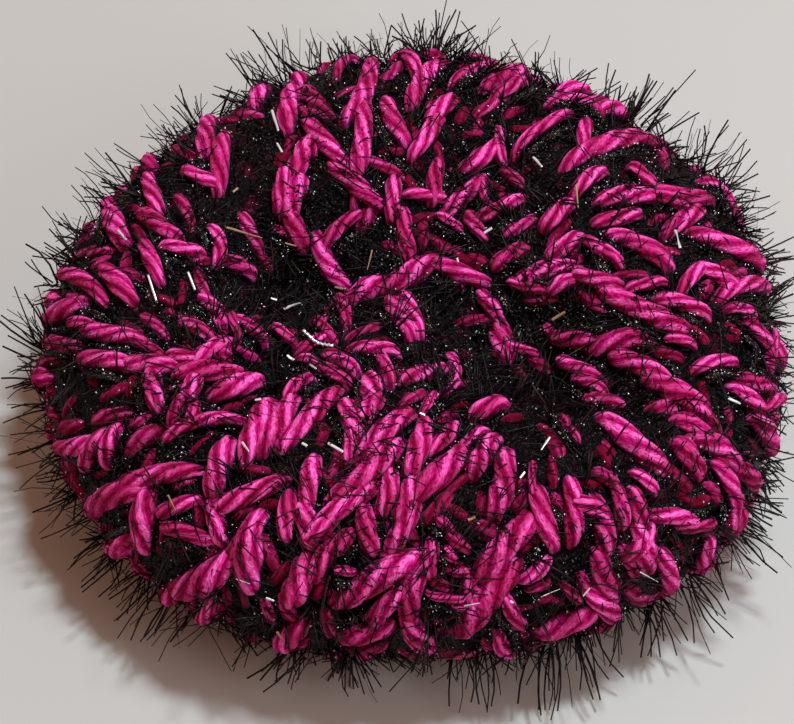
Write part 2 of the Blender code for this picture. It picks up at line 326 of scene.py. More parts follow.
# The strands that show in the photo. Each row has the pixels where the strand comes up and goes
# down again, x then y, and its thickness in millimetres.
TOP_STRANDS = (
    # back
    (352, 48, 336, 74, 1.8), (372, 58, 345, 118, 2.9), (364, 102, 354, 180, 2.7), (308, 122, 346, 166, 2.7),
    (332, 164, 378, 204, 2.6), (292, 90, 286, 126, 3.0), (313, 142, 294, 172, 3.3),
    (300, 182, 288, 215, 3.3), (291, 218, 301, 246, 2.7), (284, 173, 278, 207, 2.0),
    (386, 98, 404, 138, 2.6), (222, 137, 218, 190, 2.7), (204, 112, 203, 155, 2.7),
    (394, 180, 392, 214, 2.3), (442, 42, 425, 60, 3.3), (404, 48, 416, 72, 2.4), (438, 64, 411, 103, 2.9),
    (466, 53, 490, 62, 1.8), (486, 65, 453, 78, 1.7), (529, 64, 484, 87, 2.9), (522, 80, 497, 93, 2.1),
    (450, 101, 432, 118, 2.7), (436, 120, 414, 152, 2.6), (569, 112, 512, 153, 2.0),
    (501, 130, 501, 156, 1.7), (498, 145, 468, 166, 2.7), (587, 122, 584, 148, 2.1),
    (600, 172, 577, 190, 2.3), (438, 166, 434, 196, 2.3), (440, 197, 408, 193, 1.8),
    (480, 182, 448, 212, 2.7), (482, 180, 484, 198, 1.4), (518, 198, 482, 217, 2.4),
    (636, 168, 652, 184, 2.1), (655, 188, 714, 200, 2.3), (658, 195, 684, 206, 2.1),
    # left
    (188, 170, 216, 182, 2.1), (147, 176, 159, 208, 2.3), (110, 206, 122, 240, 3.0),
    (143, 213, 178, 238, 2.7), (168, 245, 200, 252, 2.3), (143, 242, 157, 275, 2.3),
    (103, 268, 129, 296, 2.7), (44, 325, 80, 302, 2.9), (70, 322, 90, 326, 1.8), (85, 328, 145, 340, 2.6),
    (82, 358, 128, 364, 2.7), (125, 364, 172, 366, 2.9), (172, 353, 194, 358, 1.8),
    (200, 358, 226, 344, 2.6), (183, 322, 207, 335, 2.1), (214, 228, 218, 258, 2.1),
    (204, 298, 222, 325, 2.4),
    # round the gather
    (222, 260, 249, 272, 2.6), (352, 217, 326, 243, 2.1), (318, 240, 342, 282, 2.7),
    (404, 215, 410, 256, 2.3), (376, 284, 352, 300, 3.2), (427, 264, 385, 288, 3.3),
    (391, 302, 411, 336, 2.7), (404, 294, 418, 330, 2.4), (338, 295, 346, 318, 2.0),
    (232, 312, 238, 332, 1.2), (240, 320, 263, 339, 2.0), (278, 328, 294, 342, 1.5),
    (318, 322, 333, 340, 2.0), (303, 348, 322, 338, 1.7), (303, 358, 318, 365, 1.7),
    (325, 352, 352, 368, 2.4), (322, 366, 345, 380, 2.1), (352, 350, 394, 350, 2.3),
    (382, 355, 389, 378, 2.1), (212, 350, 226, 355, 2.3), (430, 257, 482, 281, 2.6),
    (514, 282, 540, 289, 1.5), (553, 288, 567, 281, 2.4), (578, 273, 612, 281, 2.3),
    (484, 298, 497, 317, 2.3), (500, 330, 506, 358, 3.3), (508, 344, 530, 352, 1.5),
    (500, 262, 520, 250, 2.6), (470, 217, 479, 230, 2.1), (548, 222, 566, 205, 2.6),
    (554, 253, 576, 238, 2.7), (588, 240, 604, 252, 2.0), (604, 246, 616, 258, 1.8),
    (444, 217, 458, 226, 1.5), (450, 355, 455, 376, 1.8), (405, 378, 441, 370, 2.7),
    # right
    (602, 220, 636, 213, 2.3), (668, 232, 700, 210, 2.7), (610, 233, 665, 262, 3.2),
    (633, 286, 662, 280, 1.7), (600, 287, 685, 330, 3.2), (662, 298, 706, 312, 2.4),
    (682, 290, 702, 267, 2.0), (735, 307, 752, 313, 1.8), (750, 322, 768, 343, 2.3),
    (776, 330, 768, 375, 2.1), (556, 338, 602, 347, 2.6), (672, 338, 692, 343, 1.5),
    (617, 357, 668, 382, 2.9), (650, 380, 706, 412, 3.3), (560, 360, 594, 376, 2.3),
    (575, 378, 602, 387, 1.8), (680, 420, 703, 433, 2.7), (742, 470, 756, 486, 2.6),
    (719, 464, 738, 500, 2.4), (735, 503, 728, 530, 2.4), (604, 418, 666, 470, 3.3),
    (683, 448, 697, 470, 3.2), (737, 388, 763, 412, 2.4), (745, 378, 774, 392, 2.3),
    (765, 408, 788, 398, 1.7), (755, 418, 771, 450, 3.3), (638, 474, 653, 489, 1.8),
    (618, 490, 624, 520, 2.1), (635, 497, 640, 521, 2.6), (660, 516, 692, 522, 2.4),
    (680, 528, 712, 524, 1.7), (649, 532, 632, 553, 2.7), (710, 540, 702, 562, 2.4),
    # front left
    (151, 374, 156, 402, 2.7), (195, 380, 185, 402, 2.6), (179, 400, 171, 420, 1.8),
    (196, 404, 188, 420, 1.5), (55, 447, 88, 440, 2.3), (84, 466, 105, 436, 3.0), (106, 457, 115, 431, 2.6),
    (148, 497, 143, 548, 3.6), (163, 528, 205, 540, 2.1), (163, 512, 192, 500, 2.1),
    (212, 508, 218, 534, 2.6), (228, 443, 214, 486, 3.3), (218, 392, 258, 380, 3.0),
    (268, 406, 245, 456, 3.3), (292, 400, 262, 448, 3.0), (338, 388, 281, 445, 3.0),
    (308, 378, 290, 391, 2.1), (313, 464, 307, 502, 2.7), (216, 508, 283, 480, 2.6),
    (289, 497, 285, 531, 2.4), (303, 512, 310, 541, 2.7), (330, 522, 312, 536, 2.4),
    (371, 377, 372, 400, 2.9), (377, 400, 362, 422, 2.7), (346, 405, 361, 441, 2.7),
    (350, 427, 347, 452, 1.8), (410, 412, 362, 452, 2.9), (400, 440, 331, 501, 3.2),
    (372, 488, 321, 519, 2.7), (391, 475, 382, 509, 2.4), (365, 513, 371, 546, 2.7),
    (410, 485, 399, 515, 2.3), (256, 521, 234, 553, 2.9), (412, 510, 392, 547, 2.7),
    # front right
    (427, 405, 437, 394, 1.4), (449, 389, 461, 382, 1.4), (476, 414, 497, 404, 2.9),
    (426, 420, 412, 466, 2.9), (435, 446, 454, 428, 2.3), (464, 442, 479, 431, 1.5),
    (466, 448, 403, 502, 3.3), (490, 444, 475, 469, 3.0), (505, 458, 493, 516, 3.2),
    (528, 523, 480, 577, 3.6), (571, 485, 572, 540, 2.6), (580, 503, 602, 513, 2.3),
    (597, 506, 606, 548, 3.0), (442, 522, 450, 533, 1.5), (450, 534, 464, 547, 1.8),
    (533, 466, 533, 490, 1.1), (537, 490, 553, 543, 2.7),
    # near edge
    (95, 556, 134, 540, 3.0), (178, 590, 232, 556, 3.9), (198, 622, 209, 605, 2.0),
    (252, 543, 249, 586, 3.6), (304, 566, 290, 600, 3.5), (330, 548, 314, 574, 2.6),
    (347, 536, 332, 552, 2.3), (300, 626, 280, 646, 3.0), (338, 570, 350, 572, 1.4),
    (336, 604, 424, 557, 4.0), (400, 592, 374, 618, 2.7), (348, 636, 386, 628, 3.0),
    (418, 574, 408, 616, 3.0), (432, 547, 430, 572, 2.1), (446, 550, 452, 557, 1.5),
    (408, 618, 428, 646, 2.9), (406, 630, 426, 650, 2.1), (432, 596, 458, 600, 1.2),
    (452, 604, 463, 608, 1.2), (513, 568, 460, 634, 4.0), (545, 630, 588, 613, 3.9),
    (508, 602, 520, 624, 2.1), (500, 640, 510, 652, 2.4), (600, 556, 611, 600, 3.0),
    (590, 594, 613, 617, 2.7), (638, 525, 648, 570, 3.0), (662, 552, 670, 588, 2.6),
    (700, 572, 716, 566, 2.4), (528, 577, 545, 564, 2.1),
)
BOWED_STRANDS = (
    (552, 101, 600, 108, 2.0), (652, 140, 562, 167, 2.9), (600, 200, 655, 197, 2.6),
    (706, 180, 733, 206, 2.0), (58, 275, 103, 302, 2.3), (182, 372, 240, 374, 2.9),
    (520, 281, 573, 266, 2.7), (690, 230, 762, 266, 3.2), (702, 268, 736, 288, 2.4),
    (720, 298, 775, 293, 2.4), (593, 350, 646, 341, 2.7), (700, 366, 736, 362, 2.0),
    (697, 438, 738, 468, 3.0), (163, 439, 240, 420, 2.0), (122, 485, 196, 470, 2.7),
    (87, 521, 142, 493, 3.2),
)
SUNK_STRANDS = (
    (304, 92, 330, 120, 3.0), (236, 112, 260, 120, 2.4), (374, 162, 398, 175, 1.8),
    (503, 98, 477, 113, 1.8), (505, 172, 522, 186, 1.8), (402, 64, 384, 80, 1.8), (655, 130, 664, 166, 2.1),
    (172, 150, 192, 158, 2.1), (178, 198, 190, 232, 1.8), (195, 262, 208, 262, 1.5),
    (72, 262, 112, 250, 1.7), (40, 342, 86, 348, 2.1), (145, 318, 164, 336, 1.8), (198, 272, 208, 300, 1.7),
    (134, 344, 160, 354, 1.5), (243, 218, 260, 252, 2.1), (278, 230, 292, 242, 1.8),
    (262, 258, 268, 268, 1.8), (376, 202, 361, 228, 2.4), (386, 246, 403, 252, 1.7),
    (334, 304, 326, 318, 1.8), (376, 328, 350, 338, 1.8), (454, 280, 462, 290, 1.7),
    (528, 300, 550, 299, 1.5), (582, 290, 604, 309, 2.1), (462, 322, 498, 318, 1.7),
    (525, 358, 546, 370, 2.0), (512, 366, 520, 374, 1.5), (510, 232, 532, 220, 2.0),
    (548, 328, 556, 336, 1.5), (655, 350, 676, 357, 1.7), (588, 400, 619, 404, 2.3),
    (648, 410, 692, 408, 2.7), (708, 415, 716, 432, 1.8), (600, 474, 613, 481, 2.0),
    (562, 417, 566, 426, 1.4), (571, 428, 577, 437, 1.1), (43, 393, 57, 416, 1.8), (62, 428, 84, 424, 2.1),
    (98, 420, 130, 414, 2.1), (133, 424, 150, 414, 1.4), (40, 445, 57, 456, 1.8), (128, 452, 156, 432, 2.6),
    (68, 461, 64, 486, 2.1), (56, 484, 76, 502, 1.8), (338, 455, 354, 466, 2.0), (330, 540, 347, 548, 2.0),
    (407, 400, 424, 394, 1.8), (484, 528, 498, 536, 2.6), (445, 499, 425, 520, 2.0),
    (138, 558, 150, 580, 2.4), (189, 610, 190, 622, 1.5), (212, 620, 222, 604, 2.1),
    (226, 592, 228, 602, 1.5), (230, 562, 226, 574, 1.2), (266, 602, 272, 618, 2.0),
    (285, 602, 292, 616, 2.1), (326, 615, 332, 632, 2.1), (384, 553, 400, 556, 1.8),
    (352, 650, 380, 646, 1.8), (446, 566, 464, 570, 2.1), (434, 580, 446, 588, 2.0),
    (430, 632, 450, 628, 1.8), (470, 580, 466, 598, 2.4), (530, 590, 545, 585, 1.2),
    (516, 634, 526, 632, 1.5), (548, 645, 572, 642, 2.1), (440, 664, 478, 662, 3.0),
    (484, 640, 490, 655, 1.5), (402, 650, 422, 656, 1.5), (624, 552, 634, 575, 2.1),
    (672, 590, 650, 618, 3.6), (628, 588, 645, 598, 2.4), (582, 578, 592, 596, 1.8),
    (566, 588, 578, 600, 1.5),
)
# Loose bits that show: the pixels of both ends, the width in millimetres and the twist in radians
# for each millimetre.
TINSEL = (
    (272, 110, 278, 131, 0.5, 0.2), (277, 143, 282, 152, 0.4, 0.2), (148, 275, 157, 303, 0.4, 0.15),
    (188, 272, 195, 290, 0.4, 0.2), (118, 230, 126, 240, 0.4, 0.2), (303, 330, 333, 346, 0.8, 4.2),
    (284, 309, 300, 303, 0.5, 0.6), (271, 298, 277, 300, 0.5, 0.6), (675, 230, 680, 248, 0.5, 0.8),
    (533, 157, 542, 167, 0.45, 0.3), (728, 398, 740, 404, 0.5, 0.6), (242, 442, 249, 452, 0.4, 0.6),
    (328, 443, 343, 452, 0.45, 0.2), (302, 443, 307, 446, 0.45, 0.4), (550, 437, 541, 450, 0.4, 0.4),
    (484, 233, 492, 228, 0.5, 0.4), (457, 258, 458, 262, 0.4, 0.4), (420, 413, 425, 415, 0.45, 0.4),
    (255, 400, 261, 399, 0.45, 0.4), (520, 478, 525, 472, 0.35, 0.4), (287, 355, 294, 360, 0.5, 0.4),
    (309, 364, 316, 369, 0.4, 0.4), (266, 598, 274, 601, 0.45, 0.4), (583, 596, 590, 588, 0.35, 0.2),
    # The bits from (543, 596), (464, 606) and (640, 572) are painted highlights: lashes that catch the light,
    # drawn as thin silver bits.
    (543, 596, 560, 589, 0.2, 0.3), (464, 606, 480, 603, 0.2, 0.3), (510, 601, 513, 603, 0.45, 0.4),
    (236, 579, 250, 584, 0.2, 0.3), (640, 572, 658, 582, 0.2, 0.3),
)
STRAW_BITS = (
    (186, 108, 184, 115, 0.5, 0.3), (552, 320, 565, 312, 0.5, 0.3), (168, 495, 176, 512, 0.3, 0.3),
    (576, 185, 578, 208, 0.4, 0.3), (225, 227, 262, 238, 0.4, 0.2), (335, 287, 343, 289, 0.4, 0.3),
    (233, 192, 238, 188, 0.4, 0.3), (372, 250, 367, 270, 0.3, 0.3), (285, 243, 296, 246, 0.3, 0.3),
    (468, 520, 475, 517, 0.5, 0.3), (277, 632, 281, 638, 0.5, 0.3),
)

# Lashes that stand out against the floor: the pixels of root and tip, and the width in millimetres.
BRISTLES = (
    # left, from the back to the front
    (264, 56, 253, 30, .40), (242, 76, 226, 53, .32), (253, 73, 240, 52, .28), (257, 68, 248, 51, .32),
    (260, 86, 242, 73, .36), (228, 95, 212, 94, .30), (245, 101, 220, 95, .45), (184, 108, 181, 88, .36),
    (182, 108, 175, 95, .32), (179, 117, 171, 106, .34), (197, 117, 201, 93, .20),
    (169, 135, 140, 136, .22), (171, 139, 163, 124, .30), (176, 135, 157, 134, .32),
    (166, 123, 153, 104, .18), (149, 167, 115, 144, .28), (132, 188, 105, 152, .42),
    (127, 184, 85, 153, .26), (90, 188, 75, 167, .22), (108, 183, 85, 171, .22), (86, 198, 83, 186, .34),
    (98, 191, 84, 197, .32), (86, 213, 73, 186, .24), (140, 188, 101, 182, .42), (140, 194, 103, 187, .45),
    (142, 196, 111, 196, .45), (71, 228, 42, 206, .28), (84, 237, 64, 223, .45), (75, 238, 54, 236, .40),
    (75, 242, 52, 257, .38), (56, 276, 56, 255, .28), (64, 265, 74, 243, .34), (58, 283, 26, 244, .45),
    (58, 286, 34, 287, .36), (49, 335, 26, 294, .38), (52, 298, 33, 305, .34), (48, 336, 37, 306, .34),
    (31, 334, 32, 316, .30), (39, 349, 0, 320, .45), (32, 343, 1, 315, .36), (39, 339, 7, 309, .18),
    (40, 363, 2, 346, .45), (40, 370, 17, 370, .36), (31, 379, 2, 378, .45), (35, 379, 5, 388, .38),
    (20, 384, 7, 399, .20), (32, 410, 2, 423, .34), (25, 404, 11, 408, .36), (27, 432, 9, 435, .28),
    (27, 446, 17, 455, .38), (30, 440, 17, 417, .24), (54, 474, 27, 446, .24), (49, 484, 37, 482, .36),
    (75, 494, 33, 512, .42), (50, 503, 15, 491, .20), (54, 511, 40, 533, .24), (86, 519, 40, 539, .34),
    (103, 534, 79, 540, .38), (100, 538, 74, 558, .40), (96, 540, 70, 567, .34), (104, 566, 80, 588, .42),
    (109, 574, 98, 597, .38), (128, 585, 110, 590, .34), (134, 588, 109, 599, .38),
    (136, 588, 127, 614, .36), (143, 604, 117, 620, .36), (147, 585, 148, 610, .34),
    (143, 615, 131, 640, .34), (166, 612, 144, 637, .45), (175, 617, 147, 640, .30),
    (190, 620, 170, 642, .45), (176, 641, 158, 662, .22),
    # near edge
    (236, 635, 244, 652, .34), (244, 652, 233, 672, .34), (240, 632, 257, 656, .38),
    (280, 655, 247, 678, .45), (286, 655, 260, 680, .45), (297, 648, 288, 684, .38),
    (300, 655, 298, 680, .34), (300, 672, 263, 692, .36), (310, 640, 316, 665, .34),
    (330, 650, 333, 678, .38), (340, 665, 358, 688, .36), (343, 672, 370, 675, .34),
    (459, 680, 449, 707, .38), (475, 680, 471, 702, .34), (477, 655, 479, 705, .38),
    (490, 655, 491, 706, .38), (510, 655, 505, 675, .34), (537, 660, 518, 704, .42),
    (550, 660, 538, 708, .42), (556, 665, 545, 710, .36), (560, 655, 557, 710, .36),
    (580, 650, 597, 690, .45), (575, 640, 600, 700, .40), (585, 655, 592, 698, .40),
    (600, 650, 624, 678, .36), (650, 620, 651, 657, .34), (655, 630, 660, 657, .34),
    (670, 632, 641, 658, .36), (672, 622, 688, 641, .38), (672, 635, 677, 656, .34),
    (700, 590, 725, 614, .38), (700, 600, 716, 634, .36), (705, 605, 733, 638, .36),
    (700, 620, 695, 644, .34), (718, 560, 728, 600, .36), (722, 546, 738, 547, .34),
    # right, from the front to the back
    (718, 555, 721, 580, .28), (736, 539, 752, 579, .22), (738, 538, 768, 566, .32),
    (762, 548, 777, 573, .40), (738, 532, 782, 557, .34), (743, 524, 764, 543, .40),
    (745, 520, 766, 532, .40), (731, 499, 773, 520, .45), (745, 506, 780, 515, .42),
    (753, 494, 782, 513, .50), (766, 486, 771, 505, .40), (763, 468, 771, 495, .45),
    (758, 483, 782, 481, .34), (775, 463, 794, 482, .26), (773, 460, 779, 465, .36),
    (762, 445, 794, 455, .34), (752, 417, 786, 435, .42), (780, 417, 794, 416, .38),
    (775, 374, 794, 372, .36), (784, 351, 789, 365, .30), (784, 335, 794, 341, .32),
    (782, 346, 794, 348, .30), (779, 302, 794, 294, .50), (777, 298, 794, 284, .34),
    (768, 284, 784, 288, .36), (781, 292, 794, 277, .32), (768, 277, 778, 264, .34),
    (771, 265, 782, 275, .34), (768, 266, 786, 273, .36), (767, 258, 794, 256, .38),
    (767, 263, 794, 259, .48), (766, 250, 794, 237, .40), (763, 241, 774, 232, .30),
    (750, 232, 761, 231, .38), (749, 235, 763, 236, .42), (750, 223, 775, 213, .18),
    (749, 220, 770, 208, .18), (734, 217, 747, 215, .38), (731, 211, 747, 190, .34),
    (733, 198, 770, 196, .40), (736, 203, 752, 201, .36), (730, 186, 758, 174, .38),
    (730, 184, 757, 161, .34), (722, 177, 752, 148, .38), (707, 169, 739, 162, .34),
    (722, 162, 739, 133, .18), (712, 169, 728, 120, .38), (701, 152, 710, 131, .24),
    (697, 167, 705, 125, .40), (668, 149, 689, 147, .40), (663, 147, 656, 118, .40),
    (702, 140, 696, 116, .24), (663, 131, 699, 113, .38), (651, 125, 676, 90, .48),
    (648, 118, 674, 87, .36), (648, 101, 663, 83, .20), (634, 118, 657, 81, .40), (640, 110, 653, 81, .36),
    (638, 111, 649, 74, .48), (631, 108, 637, 86, .34), (614, 91, 635, 94, .36), (618, 108, 621, 85, .34),
    (611, 105, 616, 69, .44), (572, 88, 596, 78, .30), (568, 84, 597, 69, .34),
    # back
    (564, 81, 560, 57, .18), (562, 79, 554, 60, .32), (533, 50, 550, 35, .18), (538, 71, 536, 51, .38),
    (507, 57, 517, 43, .18), (502, 57, 501, 52, .30), (488, 44, 489, 28, .18), (466, 51, 475, 41, .36),
    (453, 42, 479, 36, .30), (459, 41, 469, 32, .32), (447, 32, 476, 26, .40), (444, 32, 460, 10, .36),
    (439, 30, 456, 11, .40), (437, 34, 436, 9, .42), (429, 39, 431, 30, .34), (428, 59, 423, 26, .36),
    (423, 26, 402, 13, .32), (405, 40, 401, 22, .16), (387, 37, 379, 14, .16), (382, 46, 391, 26, .36),
    (382, 48, 393, 44, .32), (420, 41, 392, 36, .44), (380, 48, 377, 39, .32), (370, 47, 370, 41, .34),
    (373, 46, 354, 36, .32), (355, 44, 339, 36, .34), (350, 45, 346, 36, .36), (341, 51, 336, 44, .34),
    (333, 56, 328, 48, .36), (314, 56, 321, 42, .36), (301, 57, 310, 41, .26), (309, 51, 290, 59, .36),
    (290, 55, 275, 55, .34), (282, 45, 266, 46, .32), (279, 51, 286, 27, .20), (272, 49, 268, 32, .36),
)

rng = np.random.default_rng(SEED)


def smoothstep(low, high, value):
    t = np.clip((value - low) / (high - low), 0.0, 1.0)
    return t * t * (3 - 2 * t)


def outline(angle):
    """Radius of the pad's outline at each angle."""
    share = 1.0
    for waves, size, crest in OUTLINE_WAVES:
        share = share + size * np.cos(waves * (angle - math.radians(crest)))
    return PAD_RADIUS * share


def section():
    """The profile as a smooth line: distances along it, shares of the radius and heights."""
    places = np.array([[share * PAD_RADIUS, height] for _, share, height in PROFILE])
    before = np.vstack([places[1] * (-1, 1), places[:-1]])
    after = np.vstack([places[1:], places[-2] * (-1, 1)])
    slopes = (after - before) / 2
    line = []
    for a, b, slope_a, slope_b in zip(places, places[1:], slopes, slopes[1:]):
        for step in range(PROFILE_STEPS):
            t = step / PROFILE_STEPS
            line.append(
                a * (2 * t**3 - 3 * t**2 + 1) + slope_a * (t**3 - 2 * t**2 + t)
                + b * (3 * t**2 - 2 * t**3) + slope_b * (t**3 - t**2)
            )
    line = np.array([*line, places[-1]])
    line[:, 1] = np.maximum(line[:, 1], 0.0)
    along = np.concatenate([[0.0], np.cumsum(np.linalg.norm(np.diff(line, axis=0), axis=1))])
    return along, line[:, 0] / PAD_RADIUS, line[:, 1]


SECTION = section()
MERIDIAN = SECTION[0][-1]


def radius_share(meridian):
    return np.interp(meridian, SECTION[0], SECTION[1])


def dimple(row, x, y):
    """How strongly one dimple pulls at each x, y: 1 in its middle, 0 far off."""
    _, distance, angle, _, length, width = row
    ux, uy = math.cos(math.radians(angle)), math.sin(math.radians(angle))
    along = x * ux + y * uy - distance
    across = y * ux - x * uy
    return np.exp(-((along / length) ** 2) - (across / width) ** 2)


def in_pits(points):
    """How deep points lie in the two large pits: 1 in the middle, 0 far off."""
    return sum(dimple(row, points[:, 0], points[:, 1]) for row in DIMPLES[:2])


def pad_points(angle, meridian):
    """Points of the bare pad."""
    radius = radius_share(meridian) * outline(angle)
    x, y = radius * np.cos(angle), radius * np.sin(angle)
    top = 1 - smoothstep(*(share * MERIDIAN for share in TOP_SHARE), meridian)
    depth = sum(row[3] * dimple(row, x, y) for row in DIMPLES)
    z = np.interp(meridian, SECTION[0], SECTION[2]) - depth * top
    return np.stack([x, y, z], axis=-1)


def pad_normals(angle, meridian):
    """Outward unit normals of the bare pad."""
    step, turn, edge = 0.4, 0.01, 1e-3
    low, high = np.maximum(meridian - step, edge), np.minimum(meridian + step, MERIDIAN - edge)
    outward = pad_points(angle, high) - pad_points(angle, low)
    around = pad_points(angle + turn, meridian) - pad_points(angle - turn, meridian)
    return unit(np.cross(outward, around))


def unit(vectors):
    return vectors / np.maximum(np.linalg.norm(vectors, axis=-1, keepdims=True), 1e-9)


def camera_pose():
    """The camera's place, and its directions to the right, up and back."""
    elevation = math.radians(ELEVATION)
    right = np.array([1.0, 0.0, 0.0])
    up = np.array([0.0, math.sin(elevation), math.cos(elevation)])
    back = np.array([0.0, -math.cos(elevation), math.sin(elevation)])
    across, down = (np.array(GATHER_PIXEL) - np.array(IMAGE_SIZE) / 2) / PIXELS_PER_MM
    target = np.array([0.0, 0.0, GATHER_HEIGHT]) - across * right + down * up
    return target + DISTANCE * back, right, up, back


def to_pixels(points):
    """Where points show in the photo's frame, and how far from the camera they are."""
    place, right, up, back = camera_pose()
    ray = points - place
    depth = -(ray @ back)
    scale = PIXELS_PER_MM * DISTANCE / depth
    shown = np.stack([scale * (ray @ right), -scale * (ray @ up)], axis=-1)
    return shown + np.array(IMAGE_SIZE) / 2, depth


def facing(points, normals):
    """Cosine of the angle between a normal and the way to the camera."""
    return np.sum(normals * unit(camera_pose()[0] - points), axis=-1)


def rolled(flat):
    """Angle and meridian of places in the unrolled plane, where the meridian runs out from the middle."""
    meridian = np.linalg.norm(flat, axis=-1)
    return np.arctan2(flat[..., 1], flat[..., 0]), np.clip(meridian, EDGE, MERIDIAN - EDGE)


def lifted(flat, lift):
    """Points at a height over places in the unrolled plane."""
    angle, meridian = rolled(flat)
    return pad_points(angle, meridian) + np.asarray(lift)[..., None] * pad_normals(angle, meridian)


class PadView:
    """Finds the places on the pad that show at the photo's pixels."""

    def __init__(self):
        reach = np.arange(-SEARCH_REACH * MERIDIAN, SEARCH_REACH * MERIDIAN, SEARCH_STEP)
        flat = np.stack(np.meshgrid(reach, reach), axis=-1).reshape(-1, 2)
        flat = flat[np.linalg.norm(flat, axis=-1) < SEARCH_REACH * MERIDIAN]
        points = lifted(flat, np.full(len(flat), SEARCH_LIFT))
        shows = facing(points, pad_normals(*rolled(flat))) > 0
        self.flat = flat[shows]
        pixels, self.depth = to_pixels(points[shows])
        self.tree = KDTree(len(pixels))
        for number, (x, y) in enumerate(pixels.tolist()):
            self.tree.insert((x, y, 0.0), number)
        self.tree.balance()

    def first(self, x, y):
        """The place nearest to the camera that shows close to a pixel."""
        near = [hit[1] for hit in self.tree.find_range((x, y, 0.0), SEARCH_PIXELS)]
        if not near:
            near = [self.tree.find((x, y, 0.0))[1]]
        return self.flat[min(near, key=lambda number: self.depth[number])]

    def places(self, pixels, lift):
        """Places in the unrolled plane that show at the pixels when they are lifted off the pad."""
        flat = np.array([self.first(x, y) for x, y in pixels])
        for _ in range(SEARCH_ROUNDS):
            miss = pixels - to_pixels(lifted(flat, lift))[0]
            ways = []
            for side in np.eye(2) * NUDGE:
                ahead, behind = (to_pixels(lifted(flat + way, lift))[0] for way in (side, -side))
                ways.append((ahead - behind) / (2 * NUDGE))
            slope = np.stack(ways, axis=-1)
            turned = slope.transpose(0, 2, 1)
            step = np.linalg.solve(turned @ slope + DAMPING * np.eye(2), turned @ miss[..., None])
            flat = flat + np.clip(step[..., 0], -LONGEST_STEP, LONGEST_STEP)
        return flat


def spiral(start, end, spacing):
    """Places at even distances along the spiral between two places of the meridian."""
    fine = np.linspace(start, end, SPIRAL_STEPS)
    angles = 2 * math.pi * (fine - FIRST_STITCH) / ROUND_PITCH
    radius = np.maximum(radius_share(fine) * PAD_RADIUS, 1.0)
    run = np.concatenate([[0.0], np.cumsum(np.diff(angles) * (radius[1:] + radius[:-1]) / 2)])
    even = np.linspace(0.0, run[-1], int(run[-1] / spacing))
    return np.interp(even, run, angles), np.interp(even, run, fine)


def stitches():
    """Every stitch: angle, place on the meridian, tilt, half length, rise, and whether it closes a V."""
    draw = random.Random(SEED)
    less, left, spread = LEFT_TILT
    made = []
    places = zip(*spiral(FIRST_STITCH, MERIDIAN, STITCH_SPACING))
    for number, (angle, middle) in enumerate(places):
        share = float(radius_share(middle))
        counter = number % COUNTER_EVERY == COUNTER_EVERY - 1
        from_left = (math.degrees(angle) - left + 180) % 360 - 180
        tilt = COUNTER_TILT if counter else TILT - less * math.exp(-((from_left / spread) ** 2))
        place = draw.uniform(-1, 1) * PLACE_SPREAD / max(share * PAD_RADIUS, 2 * PLACE_SPREAD)
        middle += draw.uniform(-1, 1) * PLACE_SPREAD
        tilt = math.radians(tilt + draw.uniform(-1, 1) * TILT_SPREAD)
        half_length = 0.5 * LEG_LENGTH * draw.uniform(*LENGTH_SPREAD) * (COUNTER_LENGTH if counter else 1.0)
        draw.uniform(*THICKNESS_SPREAD)     # drawn so that the later draws are those of the solids
        rise = YARN_RISE * draw.uniform(*(COUNTER_RISE if counter else RISE_SPREAD))
        made.append((angle + place, middle, tilt, half_length, rise, float(counter)))
    return np.array(made).T


# ---------------------------------------------------------------- meshes
def make_mesh(name, vertices, faces, material, smooth=True, layers=()):
    """One object from vertices in millimetres and arrays of faces, each with its own number of corners."""
    corners = np.concatenate([part.ravel() for part in faces])
    sizes = np.concatenate([np.full(len(part), part.shape[1]) for part in faces])
    starts = np.concatenate([[0], np.cumsum(sizes)[:-1]])
    mesh = bpy.data.meshes.new(name)
    mesh.vertices.add(len(vertices))
    mesh.vertices.foreach_set("co", (np.asarray(vertices) * MM).astype(np.float32).ravel())
    mesh.loops.add(len(corners))
    mesh.loops.foreach_set("vertex_index", corners.astype(np.int32))
    mesh.polygons.add(len(sizes))
    mesh.polygons.foreach_set("loop_start", starts.astype(np.int32))
    mesh.update(calc_edges=True)
    for layer, values in layers:
        kind, field = ("FLOAT_VECTOR", "vector") if values.ndim == 2 else ("FLOAT", "value")
        attribute = mesh.attributes.new(layer, kind, "POINT")
        attribute.data.foreach_set(field, values.astype(np.float32).ravel())
    mesh.materials.append(material)
    if smooth:
        mesh.shade_smooth()
    piece = bpy.data.objects.new(name, mesh)
    bpy.context.scene.collection.objects.link(piece)
    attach(piece, "root")
    return piece


def frames_along(centres, normals):
    """Unit vectors across and up for each point of each line, up being close to the given normals."""
    tangents = unit(np.gradient(centres, axis=1))
    up = unit(normals - tangents * np.sum(normals * tangents, axis=-1, keepdims=True))
    return np.cross(tangents, up), up


def rings_round(centres, across, up, radius, turn):
    """Rings of points round each point of each line, turned from across towards up."""
    ring = np.cos(turn)[:, None] * across[:, :, None, :] + np.sin(turn)[:, None] * up[:, :, None, :]
    return centres[:, :, None, :] + radius[..., None] * ring


def walls_between(index):
    """Faces between the rings of each line, and the number of each point's neighbour in its ring."""
    following = np.roll(index, -1, axis=2)
    walls = np.stack([index[:, :-1], following[:, :-1], following[:, 1:], index[:, 1:]], axis=-1)
    return walls.reshape(-1, 4), following


